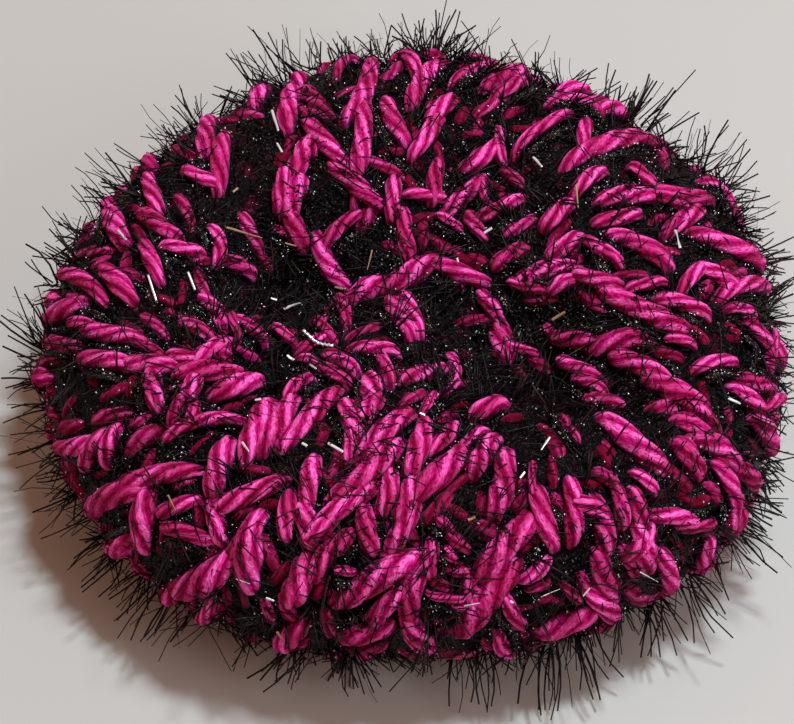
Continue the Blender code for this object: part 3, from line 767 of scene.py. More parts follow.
def tubes(centres, normals, radii, sides, shape=None):
    """Closed tubes round many lines of the same number of points.

    Returns vertices, faces, and for each vertex its distance along its line, its angle round it and
    the number of its line. shape(angle, along) scales the radius.
    """
    lines, points, _ = centres.shape
    across, up = frames_along(centres, normals)
    steps = np.linalg.norm(np.diff(centres, axis=1), axis=-1)
    along = np.concatenate([np.zeros((lines, 1)), np.cumsum(steps, axis=1)], axis=1)
    hidden = sides // 5
    seen = np.linspace(-UNDER_EDGE, math.pi + UNDER_EDGE, sides - hidden)
    turn = np.concatenate([seen, np.linspace(seen[-1], seen[0] + 2 * math.pi, hidden + 2)[1:-1]])
    reach = np.broadcast_to(radii[:, :, None], (lines, points, sides))
    if shape is not None:
        reach = reach * shape(turn[None, None, :], along[:, :, None])
    vertices = rings_round(centres, across, up, reach, turn)
    index = np.arange(lines * points * sides).reshape(lines, points, sides)
    walls, _ = walls_between(index)
    caps = np.concatenate([index[:, 0, ::-1], index[:, -1, :]])
    layer = np.stack(np.broadcast_arrays(
        along[:, :, None], turn[None, None, :], np.arange(lines)[:, None, None]), axis=-1)
    return vertices.reshape(-1, 3), [walls, caps], layer.reshape(-1, 3)


def hairs(paths, width, blunt=True):
    """Closed three-sided hairs along many lines of the same number of points, blunt or drawn to a tip."""
    count, points, _ = paths.shape
    tangents = unit(np.gradient(paths, axis=1))
    helper = np.zeros_like(tangents[:, :1]) + (0.31, 0.57, 0.76)
    across = unit(np.cross(tangents, helper))
    up = np.cross(tangents, across)
    rings = points if blunt else points - 1
    taper = np.linspace(1.0, HAIR_TAPERS[0] if blunt else HAIR_TAPERS[1], rings)[None, :, None]
    radius = 0.5 * np.asarray(width)[:, None, None] * taper
    turn = 2 * math.pi * np.arange(3) / 3
    body = rings_round(paths[:, :rings], across[:, :rings], up[:, :rings], radius, turn).reshape(count, -1, 3)
    vertices = body if blunt else np.concatenate([body, paths[:, -1:, :]], axis=1)
    each = vertices.shape[1]
    base = (np.arange(count) * each)[:, None]
    index = base[:, :, None] + np.arange(3 * rings).reshape(1, rings, 3)
    walls, following = walls_between(index)
    if blunt:
        last = index[:, -1]
    else:
        tip = np.broadcast_to(base + each - 1, (count, 3))
        last = np.stack([index[:, -1], following[:, -1], tip], axis=-1).reshape(-1, 3)
    faces = [np.concatenate([index[:, 0, ::-1], last]), walls]
    return vertices.reshape(-1, 3), faces, np.repeat(np.arange(count), each)


def shaded_hairs(name, paths, width, material, blunt=True):
    """Hairs as one object, each with a shade of its own."""
    vertices, faces, hair = hairs(paths, width, blunt)
    shade = rng.random(len(paths))[hair]
    return make_mesh(name, vertices, faces, material, smooth=False, layers=(("shade", shade),))


def above_floor(points, clearance=FLOOR_CLEARANCE):
    points[..., 2] = np.maximum(points[..., 2], clearance)
    return points


# ---------------------------------------------------------------- materials
class Nodes:
    """A material's node tree, built by short calls."""

    def __init__(self, name):
        self.material = bpy.data.materials.new(name)
        self.material.use_nodes = True
        self.tree = self.material.node_tree
        self.shader = self.tree.nodes["Principled BSDF"]

    def add(self, kind, **settings):
        node = self.tree.nodes.new(kind)
        for key, value in settings.items():
            setattr(node, key, value)
        return node

    def link(self, source, target):
        self.tree.links.new(source, target)

    def attribute(self, name):
        return self.add("ShaderNodeAttribute", attribute_name=name)

    def maths(self, operation, a, b=None):
        node = self.add("ShaderNodeMath", operation=operation)
        for socket, value in zip(node.inputs, (a, b)):
            if value is None:
                continue
            if isinstance(value, (int, float)):
                socket.default_value = value
            else:
                self.link(value, socket)
        return node.outputs[0]

    def noise(self, vector, scale, detail):
        node = self.add("ShaderNodeTexNoise")
        node.inputs["Scale"].default_value = scale
        node.inputs["Detail"].default_value = detail
        self.link(vector, node.inputs["Vector"])
        return node.outputs["Fac"]

    def ramp(self, fac, *stops):
        node = self.add("ShaderNodeValToRGB")
        elements = node.color_ramp.elements
        while len(elements) < len(stops):
            elements.new(0.5)
        for element, (place, colour) in zip(elements, stops):
            element.position = place
            element.color = (*colour, 1.0)
        self.link(fac, node.inputs["Fac"])
        return node.outputs["Color"]

    def mix(self, fac, a, b, blend="MIX"):
        node = self.add("ShaderNodeMix", data_type="RGBA", blend_type=blend)
        for socket, value in ((node.inputs["Factor"], fac), (node.inputs["A"], a), (node.inputs["B"], b)):
            if isinstance(value, (int, float)):
                socket.default_value = value
            elif isinstance(value, tuple):
                socket.default_value = (*value, 1.0)
            else:
                self.link(value, socket)
        return node.outputs["Result"]

    def bump(self, height, strength, distance):
        node = self.add("ShaderNodeBump")
        node.inputs["Strength"].default_value = strength
        node.inputs["Distance"].default_value = distance
        self.link(height, node.inputs["Height"])
        self.link(node.outputs["Normal"], self.shader.inputs["Normal"])

    def set(self, **values):
        for key, value in values.items():
            self.shader.inputs[key.replace("_", " ")].default_value = value


def plain(name):
    m = Nodes(name)
    m.set(**PLAIN_MATERIALS[name])
    return m.material


def pink_cotton():
    """Soft plied cotton: painted highlight on the ply crests, painted shade between them and under lashes."""
    m = Nodes("pink_cotton")
    place = m.attribute("yarn").outputs["Vector"]
    split = m.add("ShaderNodeSeparateXYZ")
    m.link(place, split.inputs[0])
    along, turn, line = split.outputs
    twisted = m.maths("ADD", turn, m.maths("MULTIPLY", along, PLY_TWIST))
    fibre = m.add("ShaderNodeCombineXYZ")
    m.link(m.maths("MULTIPLY", along, FIBRE_STRETCH), fibre.inputs[0])
    m.link(m.maths("MULTIPLY", m.maths("COSINE", twisted), FIBRE_RADIUS), fibre.inputs[1])
    sine = m.maths("MULTIPLY", m.maths("SINE", twisted), FIBRE_RADIUS)
    m.link(m.maths("ADD", sine, m.maths("MULTIPLY", line, STRAND_STEP)), fibre.inputs[2])
    fibres = m.noise(fibre.outputs[0], *FIBRE_NOISE)
    # crest lifts the colour to a painted highlight on each ply and lowers it to painted shade in the grooves
    crest = m.attribute("crest").outputs["Fac"]
    tone = m.attribute("tone").outputs["Fac"]
    fuzzy = m.maths("MULTIPLY", m.maths("SUBTRACT", fibres, FIBRE_MIDDLE), FIBRE_DEPTH)
    height = m.maths("ADD", crest, fuzzy)
    # strands that lie lower darken to painted shade
    cotton = m.mix(tone, SUNK_COTTON_SHADE, m.ramp(height, *COTTON_STOPS))
    patches = m.noise(fibre.outputs[0], *CRIMSON_NOISE)
    cotton = m.mix(1.0, cotton, m.ramp(patches, *CRIMSON_STOPS), "MULTIPLY")
    fluff = m.noise(fibre.outputs[0], *FLUFF_NOISE)
    ragged = m.maths("MULTIPLY", m.maths("SUBTRACT", fluff, 0.5), FLUFF_DEPTH)
    # painted shade darkens the flanks and ends, where the lashes also cover the strands
    bare = m.ramp(m.maths("ADD", m.attribute("shown").outputs["Fac"], ragged), *BARE_LIT_STOPS)
    m.link(m.mix(bare, HIDDEN_SHADED_COTTON, cotton), m.shader.inputs["Base Color"])
    m.bump(height, 0.5, 0.0004)
    m.set(Roughness=0.95, Sheen_Weight=0.06, Sheen_Roughness=0.4, Specular_IOR_Level=0.06)
    m.set(Sheen_Tint=(1.0, 0.35, 0.8, 1.0))
    return m.material


def shaded(name, stops, roughness, specular):
    """A hair's material, coloured by each hair's own shade."""
    m = Nodes(name)
    m.link(m.ramp(m.attribute("shade").outputs["Fac"], *stops), m.shader.inputs["Base Color"])
    m.set(Roughness=roughness, Specular_IOR_Level=specular)
    return m.material


def beads(m, scale):
    """The bump of the lash yarn's small glossy loops."""
    cells = m.add("ShaderNodeTexVoronoi", feature="SMOOTH_F1")
    cells.inputs["Scale"].default_value = scale
    cells.inputs["Smoothness"].default_value = 0.15
    m.link(m.add("ShaderNodeTexCoord").outputs["Object"], cells.inputs["Vector"])
    m.bump(m.maths("SUBTRACT", 1.0, cells.outputs["Distance"]), 1.0, 0.0006)
    return cells.outputs["Distance"]


def black_thread():
    m = Nodes("black_thread")
    m.link(m.ramp(beads(m, THREAD_BEADS), *THREAD_STOPS), m.shader.inputs["Base Color"])
    m.set(Roughness=0.26, Specular_IOR_Level=0.45)
    return m.material


def core_wool():
    """The looped black yarn, with crimson bits of deep cotton in it, darkened by painted shade."""
    m = Nodes("core_wool")
    patches = m.noise(m.add("ShaderNodeTexCoord").outputs["Object"], CORE_PATCHES, 3.0)
    beads(m, CORE_BEADS)
    m.link(m.ramp(patches, *CORE_STOPS), m.shader.inputs["Base Color"])
    m.set(Roughness=0.34, Specular_IOR_Level=0.10)
    return m.material


# ---------------------------------------------------------------- the pink knitting
Legs = namedtuple("Legs", "angles meridians radius top inner outer tone")


def joined(*groups):
    return Legs(*(np.concatenate(values) for values in zip(*groups)))


def picked(legs, chosen):
    return Legs(*(values[chosen] for values in legs))


def dives(steep_first, steep, gentle):
    """The power of the dive at each leg's inner and outer end."""
    return np.where(steep_first, steep, gentle), np.where(steep_first, gentle, steep)


def photo_legs(view):
    """The strands that the photo shows, each on the pad where its pixels say."""
    tables = (TOP_STRANDS, BOWED_STRANDS, SUNK_STRANDS)
    rows = np.array([row for table in tables for row in table], dtype=float)
    sizes = [len(table) for table in tables]
    bow, sunk = np.repeat((0.0, BOW, 0.0), sizes), np.repeat((0.0, 0.0, 1.0), sizes)
    count = len(rows)
    start, end, radius = rows[:, 0:2], rows[:, 2:4], FULLER * rows[:, 4] / 2
    middle = (start + end) / 2
    middle[:, 1] -= bow * np.linalg.norm(end - start, axis=1)
    top = YARN_RISE - SUNK_DROP * sunk - radius + rng.uniform(*TOP_SPREAD, count)
    first, half, last = np.split(view.places(np.concatenate([start, middle, end]), np.tile(top, 3)), 3)
    beside = np.stack([first[:, 1] - last[:, 1], last[:, 0] - first[:, 0]], axis=-1)
    bend = (half - (first + last) / 2 + rng.uniform(-SWAY, SWAY, (count, 1)) * beside)[:, None, :]
    length = np.linalg.norm(lifted(last, top) - lifted(first, top), axis=1)
    more = (np.minimum(OVERRUN, MOST_OVERRUN * length) / length)[:, None]
    t = (-more + (1 + 2 * more) * np.linspace(0, 1, LEG_POINTS))[..., None]
    arch = 4 * np.clip(t, 0, 1) * (1 - np.clip(t, 0, 1))
    angles, meridians = rolled(first[:, None, :] + (last - first)[:, None, :] * t + arch * bend)
    steep_first = rng.random(count) < 0.5
    powers = dives(steep_first, *(rng.uniform(*power, count) for power in DIVES))
    # Sunk strands are darkened with painted shade, and every strand a little more at random.
    tone = 1.0 - rng.uniform(*SUNK_SHADE, count) * sunk - rng.uniform(0.0, SHADE_SPREAD, count)
    return Legs(angles, meridians, radius, top, *powers, tone)


def spare_legs(taken, shift, share, clearance):
    """Legs of stitches, shifted and shortened, where the photo doesn't show the pad and there is room."""
    angle, middle, tilt, half_length, rise, counter = stitches()
    middle = np.clip(middle + shift * ROUND_PITCH, EDGE, MERIDIAN - EDGE)
    angle = angle + shift * STITCH_SPACING / np.maximum(radius_share(middle) * PAD_RADIUS, TIGHTEST)
    half_length = share * half_length
    count = len(angle)
    u = np.linspace(-1, 1, LEG_POINTS)[None, :]
    lengthwise = u * half_length[:, None]
    across = rng.uniform(-SPARE_BEND, SPARE_BEND, count)[:, None] * (1 - u**2)
    slant = tilt[:, None]
    meridians = middle[:, None] + lengthwise * np.cos(slant) - across * np.sin(slant)
    meridians = np.clip(meridians, EDGE, MERIDIAN - EDGE)
    right = lengthwise * np.sin(slant) + across * np.cos(slant)
    angles = angle[:, None] - right / np.maximum(radius_share(meridians) * PAD_RADIUS, TIGHTEST)
    radius = YARN_RADIUS * rng.uniform(*SPARE_RADIUS, count)
    top = rise - radius + rng.uniform(*SPARE_TOP_SPREAD, count)
    steep_first = rng.random(count) < 0.5
    powers = dives(steep_first, *(rng.uniform(*power, count) for power in SPARE_DIVES))
    tone = 1.0 - SPARE_SHADE * counter * rng.random(count)
    legs = Legs(angles, meridians, radius, top, *powers, tone)
    centres, normals, _ = leg_centres(legs)
    half = LEG_POINTS // 2
    away = facing(centres[:, half], normals[:, half]) < LIMB
    away &= (legs.meridians[:, half] > PIT_SHARE * MERIDIAN) | (in_pits(centres[:, half]) < PIT_EDGE)
    inner = centres[:, 3:-3]
    distance = Strands(taken).nearest(inner.reshape(-1, 3))[1].reshape(inner.shape[:2]).min(axis=1)
    return picked(legs, away & (distance > clearance))


def filling_legs(taken):
    """Shorter legs in the gaps that the others leave."""
    made = []
    for shift, share in FILLS:
        made.append(spare_legs(taken, shift, share, FILL_CLEARANCE))
        taken = joined(taken, made[-1])
    return joined(*made)


def deep_legs(shown):
    """Short stretches of pink yarn that lie deeper, beside the strands, with lashes over them."""
    count = len(shown.radius)
    flat = shown.meridians[..., None] * np.stack([np.cos(shown.angles), np.sin(shown.angles)], axis=-1)
    ahead = unit(flat[:, -3] - flat[:, 2])
    beside = np.stack([-ahead[:, 1], ahead[:, 0]], axis=-1)
    side = np.where(rng.random(count) < 0.5, 1.0, -1.0) * rng.uniform(*DEEP_BESIDE, count)
    shift = rng.uniform(-DEEP_ALONG, DEEP_ALONG, (count, 1))
    middle = flat[:, LEG_POINTS // 2] + beside * side[:, None] + ahead * shift
    way = unit(ahead + beside * rng.normal(0, DEEP_TURN, (count, 1)))
    u = np.linspace(-1, 1, LEG_POINTS)[None, :, None]
    half = way * rng.uniform(*DEEP_HALF, (count, 1))
    angles, meridians = rolled(middle[:, None, :] + u * half[:, None, :])
    radius = rng.uniform(*DEEP_RADIUS, count)
    top = CORE_HEIGHT + rng.uniform(*DEEP_TOP, count) - radius
    powers = rng.uniform(*DEEP_DIVE, (2, count))
    legs = Legs(angles, meridians, radius, top, *powers, rng.uniform(*DEEP_SHADE_TONE, count))
    centre = leg_centres(legs)[0][:, LEG_POINTS // 2]
    return picked(legs, (Strands(shown).nearest(centre)[1] > DEEP_CLEARANCE) & (in_pits(centre) < PIT_EDGE))


def ply_crest(turn, along):
    """How near a place round the yarn is to the crest of a ply: 1 on it, 0 between two plies."""
    return np.abs(np.sin(0.5 * PLIES * (turn + PLY_TWIST * along)))


def ply_shape(turn, along):
    """The yarn's section: plies that wind round it, with grooves between them."""
    return 1 - PLY_GROOVE * (1 - ply_crest(turn, along)) ** 2


def leg_centres(legs):
    """Centre lines, which arch over the pad and dive into it at both ends, their normals and radii."""
    u = np.linspace(-1, 1, LEG_POINTS)[None, :]
    power = np.where(u < 0, legs.inner[:, None], legs.outer[:, None])
    height = legs.top[:, None] - (legs.top[:, None] - LEG_END) * np.abs(u) ** power
    normals = pad_normals(legs.angles, legs.meridians)
    centres = pad_points(legs.angles, legs.meridians) + normals * height[..., None]
    thinner = np.where((u < 0) == (legs.inner < legs.outer)[:, None], *LEG_THINNER)
    waves = np.sin(4.5 * u + 37.0 * legs.angles[:, :1]) * np.cos(2.0 * u + 23.0 * legs.angles[:, -1:])
    radii = legs.radius[:, None] * (LEG_FULL - thinner * np.abs(u) ** 2.5) * (1 + LEG_LUMPS * waves)
    return above_floor(centres, LEG_FLOOR), normals, radii


def pink_piece(name, legs, material, sides=LEG_SIDES, shape=ply_shape):
    """The legs of some stitches, as plied yarn."""
    vertices, faces, layer = tubes(*leg_centres(legs), sides, shape)
    place = np.repeat(np.tile(np.linspace(-1, 1, LEG_POINTS), len(legs.radius)), sides)
    # shown is 0 on the flanks and ends, in painted shade and under lashes, and 1 on the bare, lit top
    shown = smoothstep(*BARE_LIT_FLANK, np.sin(layer[:, 1])) * (1 - np.abs(place) ** BARE_LIT_END)
    tone = legs.tone[layer[:, 2].astype(int)]
    crest = ply_crest(layer[:, 1], layer[:, 0])
    layers = (("yarn", layer), ("crest", crest), ("tone", tone), ("shown", shown))
    return make_mesh(name, above_floor(vertices), faces, material, layers=layers)


def core(material):
    """The dark mass of looped lash yarn that fills the knitting up to the sides of the strands."""
    around, down = CORE_GRID
    angle = np.linspace(0, 2 * math.pi, around, endpoint=False)[None, :]
    meridian = np.linspace(0, MERIDIAN, down + 1)[1:-1][:, None]
    angle, meridian = np.broadcast_arrays(angle, meridian)
    points, normals = pad_points(angle, meridian), pad_normals(angle, meridian)
    lumps = sum(np.sin(points @ np.array(wave)) for wave in CORE_WAVES) / len(CORE_WAVES)
    height = CORE_HEIGHT + CORE_LUMPS * lumps + rng.normal(0, CORE_ROUGH, lumps.shape)
    points = points + normals * height[..., None]
    ends = np.stack([pad_points(np.zeros(1), np.full(1, end))[0] for end in (0.0, MERIDIAN)])
    ends[:, 2] += (CORE_HEIGHT, -CORE_HEIGHT)
    vertices = np.concatenate([points.reshape(-1, 3), ends])
    index = np.arange((down - 1) * around).reshape(down - 1, around)
    following = np.roll(index, -1, axis=1)
    walls = np.stack([index[:-1], index[1:], following[1:], following[:-1]], axis=-1).reshape(-1, 4)
    first, last = len(vertices) - 2, len(vertices) - 1
    fans = np.concatenate([
        np.stack([np.full(around, first), index[0], following[0]], axis=-1),
        np.stack([np.full(around, last), following[-1], index[-1]], axis=-1),
    ])
    return make_mesh("knitting_core", above_floor(vertices, CORE_LIFT), [walls, fans], material)


# ---------------------------------------------------------------- keeping out of the strands
class Strands:
    """The pink strands as a cloud of balls, to keep hairs out of them."""

    def __init__(self, legs):
        centres, _, radii = leg_centres(legs)
        self.centres = centres.reshape(-1, 3)
        self.radii = radii.ravel()
        self.tree = KDTree(len(self.centres))
        for number, centre in enumerate(self.centres):
            self.tree.insert(centre, number)
        self.tree.balance()

    def nearest(self, points):
        found = [self.tree.find(point) for point in points.tolist()]
        return np.array([hit[1] for hit in found]), np.array([hit[2] for hit in found])

    def outside(self, points, lift=HAIR_LIFT):
        index, distance = self.nearest(points)
        return distance > self.radii[index] + lift

    def push_out(self, paths):
        """Paths of hairs with each point that lies inside a strand moved out to its surface."""
        points = paths.reshape(-1, 3)
        index, distance = self.nearest(points)
        need = self.radii[index] + HAIR_LIFT
        away = (points - self.centres[index]) / np.maximum(distance, 1e-3)[:, None]
        inside = distance < need
        moved = np.where(inside[:, None], self.centres[index] + away * need[:, None], points)
        return moved.reshape(paths.shape)

    def over(self, paths, normals):
        """Paths of hairs, raised along the normals at their roots where they would go through a strand."""
        up = np.repeat(normals, paths.shape[1], axis=0)
        for _ in range(2):
            points = paths.reshape(-1, 3)
            index, distance = self.nearest(points)
            need = self.radii[index] + HAIR_LIFT
            rise = np.sum((points - self.centres[index]) * up, axis=1)
            aside = distance**2 - rise**2
            raised = np.sqrt(np.maximum(need**2 - aside, 0.0)) - rise
            points = points + up * np.where(distance < need, raised, 0.0)[:, None]
            paths = points.reshape(paths.shape)
            paths[:, 1:-1] = 0.25 * paths[:, :-2] + 0.5 * paths[:, 1:-1] + 0.25 * paths[:, 2:]
        return paths


# ---------------------------------------------------------------- the black lash yarn
def thread_lines(legs, strands):
    """Centre lines and normals of the black yarn, which lies along one side of each leg, a little lower."""
    count = len(legs.radius)
    base = pad_points(legs.angles, legs.meridians)
    normals = pad_normals(legs.angles, legs.meridians)
    beside = np.cross(unit(np.gradient(base, axis=1)), normals)
    side = np.where(rng.random(count) < 0.5, 1.0, -1.0)
    side = side * (legs.radius + THREAD_RADIUS + rng.uniform(*THREAD_BESIDE, count))
    u = np.linspace(-1, 1, LEG_POINTS)[None, :]
    top = np.maximum(legs.top + rng.uniform(*THREAD_DROP, count), THREAD_LOWEST)[:, None]
    height = top - (top + THREAD_END) * np.abs(u) ** rng.uniform(*DEEP_DIVE, count)[:, None]
    centres = base + beside * side[:, None, None] + normals * height[..., None]
    index, distance = strands.nearest(centres.reshape(-1, 3))
    short = strands.radii[index] + THREAD_PRESS * THREAD_RADIUS - distance
    short = np.maximum(short, 0.0).reshape(count, -1)
    short[:, 1:-1] = (short[:, :-2] + short[:, 1:-1] + short[:, 2:]) / 3
    return centres - normals * (1.5 * short)[..., None], normals


def bead_shape(turn, along):
    neck, bead = BEAD_SHAPE
    return neck + bead * np.abs(np.sin(math.pi * (along + BEAD_SLANT * turn) / BEAD_PITCH))


def black_threads(lines, material):
    centres = above_floor(lines[0].copy(), THREAD_RADIUS)
    radii = np.full(centres.shape[:2], THREAD_RADIUS)
    vertices, faces, _ = tubes(centres, lines[1], radii, THREAD_SIDES, bead_shape)
    return make_mesh("black_threads", above_floor(vertices), faces, material)


def along_lines(lines, line, place):
    """Points and outward normals at places, counted in points, along some of the lines."""
    centres, normals = lines
    low = place.astype(int)
    t = (place - low)[:, None]
    return centres[line, low] * (1 - t) + centres[line, low + 1] * t, unit(normals[line, low])


def roots_on(lines, each, spread):
    """Random places on the threads: points and outward normals."""
    count, points, _ = lines[0].shape
    line = np.repeat(np.arange(count), each)
    point, normal = along_lines(lines, line, rng.uniform(1, points - 2, len(line)))
    return point + rng.normal(0, spread, point.shape), normal


def roots_on_pad(count):
    """Random places spread evenly over the dark mass, and their normals."""
    first, share = PAD_ROOTS
    meridian = rng.uniform(first, share * MERIDIAN, 4 * count)
    chosen = rng.random(4 * count) < radius_share(meridian)
    meridian = meridian[chosen][:count]
    angle = rng.uniform(0, 2 * math.pi, len(meridian))
    normals = pad_normals(angle, meridian)
    return pad_points(angle, meridian) + CORE_HEIGHT * normals, normals


def directions(normals, steepest, flattest):
    """Random unit vectors that lean from the normals by an angle in degrees between the two."""
    count = len(normals)
    helper = unit(rng.normal(size=(count, 3)))
    flat = unit(helper - normals * np.sum(helper * normals, axis=-1, keepdims=True))
    lean = np.radians(rng.uniform(steepest, flattest, count))[:, None]
    return normals * np.cos(lean) + flat * np.sin(lean), flat


def hair_paths(roots, heading, sag, length, points, curl):
    """Paths that leave the roots along their heading and bend by the sag, a share of their length."""
    count = len(roots)
    bend = sag + rng.normal(0, curl, (count, 3))
    reach = rng.uniform(*length, count)[:, None, None]
    t = np.linspace(0, 1, points)[None, :, None]
    return roots[:, None, :] + reach * (t * heading[:, None, :] + t**2 * bend[:, None, :])


def tufts(lines, each, hairs_each, lean, fan, spread):
    """Roots, headings and normals of hairs that leave the threads in tufts."""
    roots, normals = roots_on(lines, each, TUFT_SPREAD)
    heading, _ = directions(normals, *lean)
    count = len(roots) * hairs_each
    root = np.repeat(roots, hairs_each, axis=0) + rng.normal(0, spread, (count, 3))
    turned = rng.normal(0, math.radians(fan), (count, 3))
    return root, unit(np.repeat(heading, hairs_each, axis=0) + turned), np.repeat(normals, hairs_each, axis=0)


def combs(lines):
    """Roots, headings and normals of lashes that stand side by side along the black yarn, to either side."""
    centres = lines[0]
    tangents = unit(np.gradient(centres, axis=1))
    count, points, _ = centres.shape
    length = np.linalg.norm(np.diff(centres, axis=1), axis=-1).sum(axis=1).mean()
    rows = int(length / LASH_SPACING)
    line = np.repeat(np.arange(count), rows)
    row = np.tile(np.arange(rows), count)
    side = np.where(rng.random(len(line)) < 0.5, 1.0, -1.0)
    off_middle = np.abs(2 * row / rows - 1)
    least, more = COMB_GATHER
    chosen = rng.random(len(line)) < COMB_SHARE * (least + more * off_middle**2)
    line, row, side = line[chosen], row[chosen], side[chosen]
    place = np.clip((row + rng.uniform(0.3, 0.7, len(row))) * points / rows, 0.5, points - 1.5)
    root, normal = along_lines(lines, line, place)
    lift = np.radians(rng.uniform(*COMB_LIFT, count))[line] + rng.normal(0, COMB_SPREAD, len(line))
    slant = rng.normal(0, COMB_SLANT, count)[line] + rng.normal(0, COMB_SPREAD, len(line))
    tangent = tangents[line, place.astype(int)]
    across = unit(np.cross(tangent, normal)) * side[:, None]
    level = across * np.cos(slant)[:, None] + tangent * np.sin(slant)[:, None]
    heading = level * np.cos(lift)[:, None] + normal * np.sin(lift)[:, None]
    return root, heading, normal


def hair_kind(kind, roots, heading, sag, material, clear=None, blunt=True):
    """One kind of filaments. clear(paths) keeps them out of the strands."""
    length, points, curl, width = HAIR_KINDS[kind]
    paths = hair_paths(roots, heading, sag, length, points, curl)
    if clear is not None:
        paths = clear(paths)
    widths = rng.uniform(*width, len(paths))
    return shaded_hairs("lash_hairs_" + kind, above_floor(paths, HAIR_FLOOR), widths, material, blunt)


def lash_hairs(lines, strands, black, fluff, fine):
    """All the filaments of the lash yarn."""
    def over(normals):
        return lambda paths: strands.over(paths, normals)

    made = []
    roots, normals = roots_on_pad(DEEP_HAIRS)
    roots, normals = (values[strands.outside(roots)] for values in (roots, normals))
    heading, _ = directions(normals, *DEEP_LEAN)
    made.append(hair_kind("deep", roots, heading, 0.0, fluff, strands.push_out, blunt=False))

    roots, heading, normals = tufts(lines, *TUFTS["short"])
    made.append(hair_kind("short", roots, heading, 0.0, fluff, over(normals), blunt=False))

    roots, heading, normals = combs(lines)
    made.append(hair_kind("crossing", roots, heading, CROSSING_SAG * normals, black, over(normals)))

    roots, normals = roots_on_pad(GAP_HAIRS)
    bare = strands.outside(roots, GAP_LASHES)
    roots, normals = roots[bare], normals[bare]
    swirl = np.stack([np.sin(roots @ np.array(wave) * GAP_SWIRL) for wave in CORE_WAVES[:3]], axis=-1)
    heading = unit(normals * rng.uniform(*GAP_LEAN, (len(roots), 1)) + swirl)
    made.append(hair_kind("over_gaps", roots, heading, GAP_SAG * normals, black, over(normals)))

    some = rng.random(len(lines[0])) < LONG_SHARE
    roots, heading, _ = tufts([part[some] for part in lines], *TUFTS["long"])
    made.append(hair_kind("long", roots, heading, 0.0, black))

    roots, heading, _ = tufts(lines, *TUFTS["fine"])
    made.append(hair_kind("fine", roots, heading, 0.0, fine))
    return made


def bristles(view, material):
    """The lashes that stand out at the pad's edge, each with shorter ones that fan out beside it."""
    rows = np.array(BRISTLES)
    count = len(rows)
    rise = np.full(count, BRISTLE_ROOT)
    roots = lifted(view.places(rows[:, 0:2], rise), rise)
    shown, depth = to_pixels(roots)
    _, right, up, back = camera_pose()
    reach = (rows[:, 2:4] - shown) * (depth / (PIXELS_PER_MM * DISTANCE))[:, None]
    ways = reach[:, :1] * right - reach[:, 1:] * up
    length = np.linalg.norm(ways, axis=1, keepdims=True)
    ways = ways + length * rng.normal(0, BRISTLE_DEPTH, (count, 1)) * back
    mates = np.repeat(np.arange(count), BRISTLE_MATES)
    spread = rng.normal(0, MATE_SPREAD, (len(mates), 3)) * length[mates]
    fanned = (ways[mates] + spread) * rng.uniform(*MATE_LENGTH, (len(mates), 1))
    beside = roots[mates] + rng.normal(0, MATE_ROOT, (len(mates), 3))
    roots, ways = np.concatenate([roots, beside]), np.concatenate([ways, fanned])
    width = np.concatenate([rows[:, 4], rows[mates, 4] * rng.uniform(*MATE_WIDTH, len(mates))])
    bend = rng.normal(0, BRISTLE_BEND, ways.shape) * np.linalg.norm(ways, axis=1, keepdims=True)
    t = np.linspace(0, 1, BRISTLE_POINTS)[None, :, None]
    paths = roots[:, None, :] + t * ways[:, None, :] + t * (1 - t) * 4 * bend[:, None, :]
    return shaded_hairs("lash_bristles", above_floor(paths, BRISTLE_FLOOR), width, material)


def flakes(name, lines, material):
    """Small glints of tinsel on the threads and on the dark mass, turned every way."""
    each, more = GLINTS
    places = roots_on(lines, each, GLINT_SPREAD), roots_on_pad(more)
    roots, normals = (np.concatenate(parts) for parts in zip(*places))
    count = len(roots)
    roots = roots + normals * rng.uniform(*GLINT_LIFT, (count, 1))
    long = unit(rng.normal(size=(count, 3)))
    wide = unit(np.cross(long, rng.normal(size=(count, 3))))
    thick = np.cross(long, wide)
    length = rng.uniform(*GLINT_SIZE, count)[:, None]
    corners = [
        roots + 0.5 * length * (a * long + GLINT_WIDTH * b * wide + GLINT_WIDTH * c * thick)
        for a, b, c in ((1, 1, 1), (1, -1, -1), (-1, 1, -1), (-1, -1, 1))
    ]
    vertices = np.stack(corners, axis=1)
    base = (np.arange(count) * 4)[:, None, None]
    pattern = np.array([(0, 1, 2), (0, 3, 1), (0, 2, 3), (1, 3, 2)])[None]
    faces = [(base + pattern).reshape(-1, 3)]
    return make_mesh(name, above_floor(vertices.reshape(-1, 3)), faces, material, smooth=False)


def loose_bits(name, table, view, material):
    """Small bits on the yarns, each between the pixels of its two ends, as twisted flat ribbons."""
    rows = np.array(table, dtype=float)
    lifts = np.full(len(rows), BIT_LIFT)
    first, last = (view.places(rows[:, column:column + 2], lifts)[:, None, :] for column in (0, 2))
    t = np.linspace(0, 1, BIT_POINTS)[None, :, None]
    angles, meridians = rolled(first * (1 - t) + last * t)
    normals = pad_normals(angles, meridians)
    centres = pad_points(angles, meridians) + BIT_LIFT * normals
    radii = np.repeat(rows[:, 4:5] / 2, BIT_POINTS, axis=1)
    twist = rows[:, 5][:, None, None]

    def flat_section(turn, along):
        turned = turn + twist * along
        return 1 / np.sqrt(np.cos(turned) ** 2 + (np.sin(turned) / BIT_FLATNESS) ** 2)

    vertices, faces, _ = tubes(centres, normals, radii, BIT_SIDES, flat_section)
    return make_mesh(name, above_floor(vertices), faces, material)


def vectors(collection, field):
    values = np.empty(3 * len(collection))
    collection.foreach_get(field, values)
    return values.reshape(-1, 3)


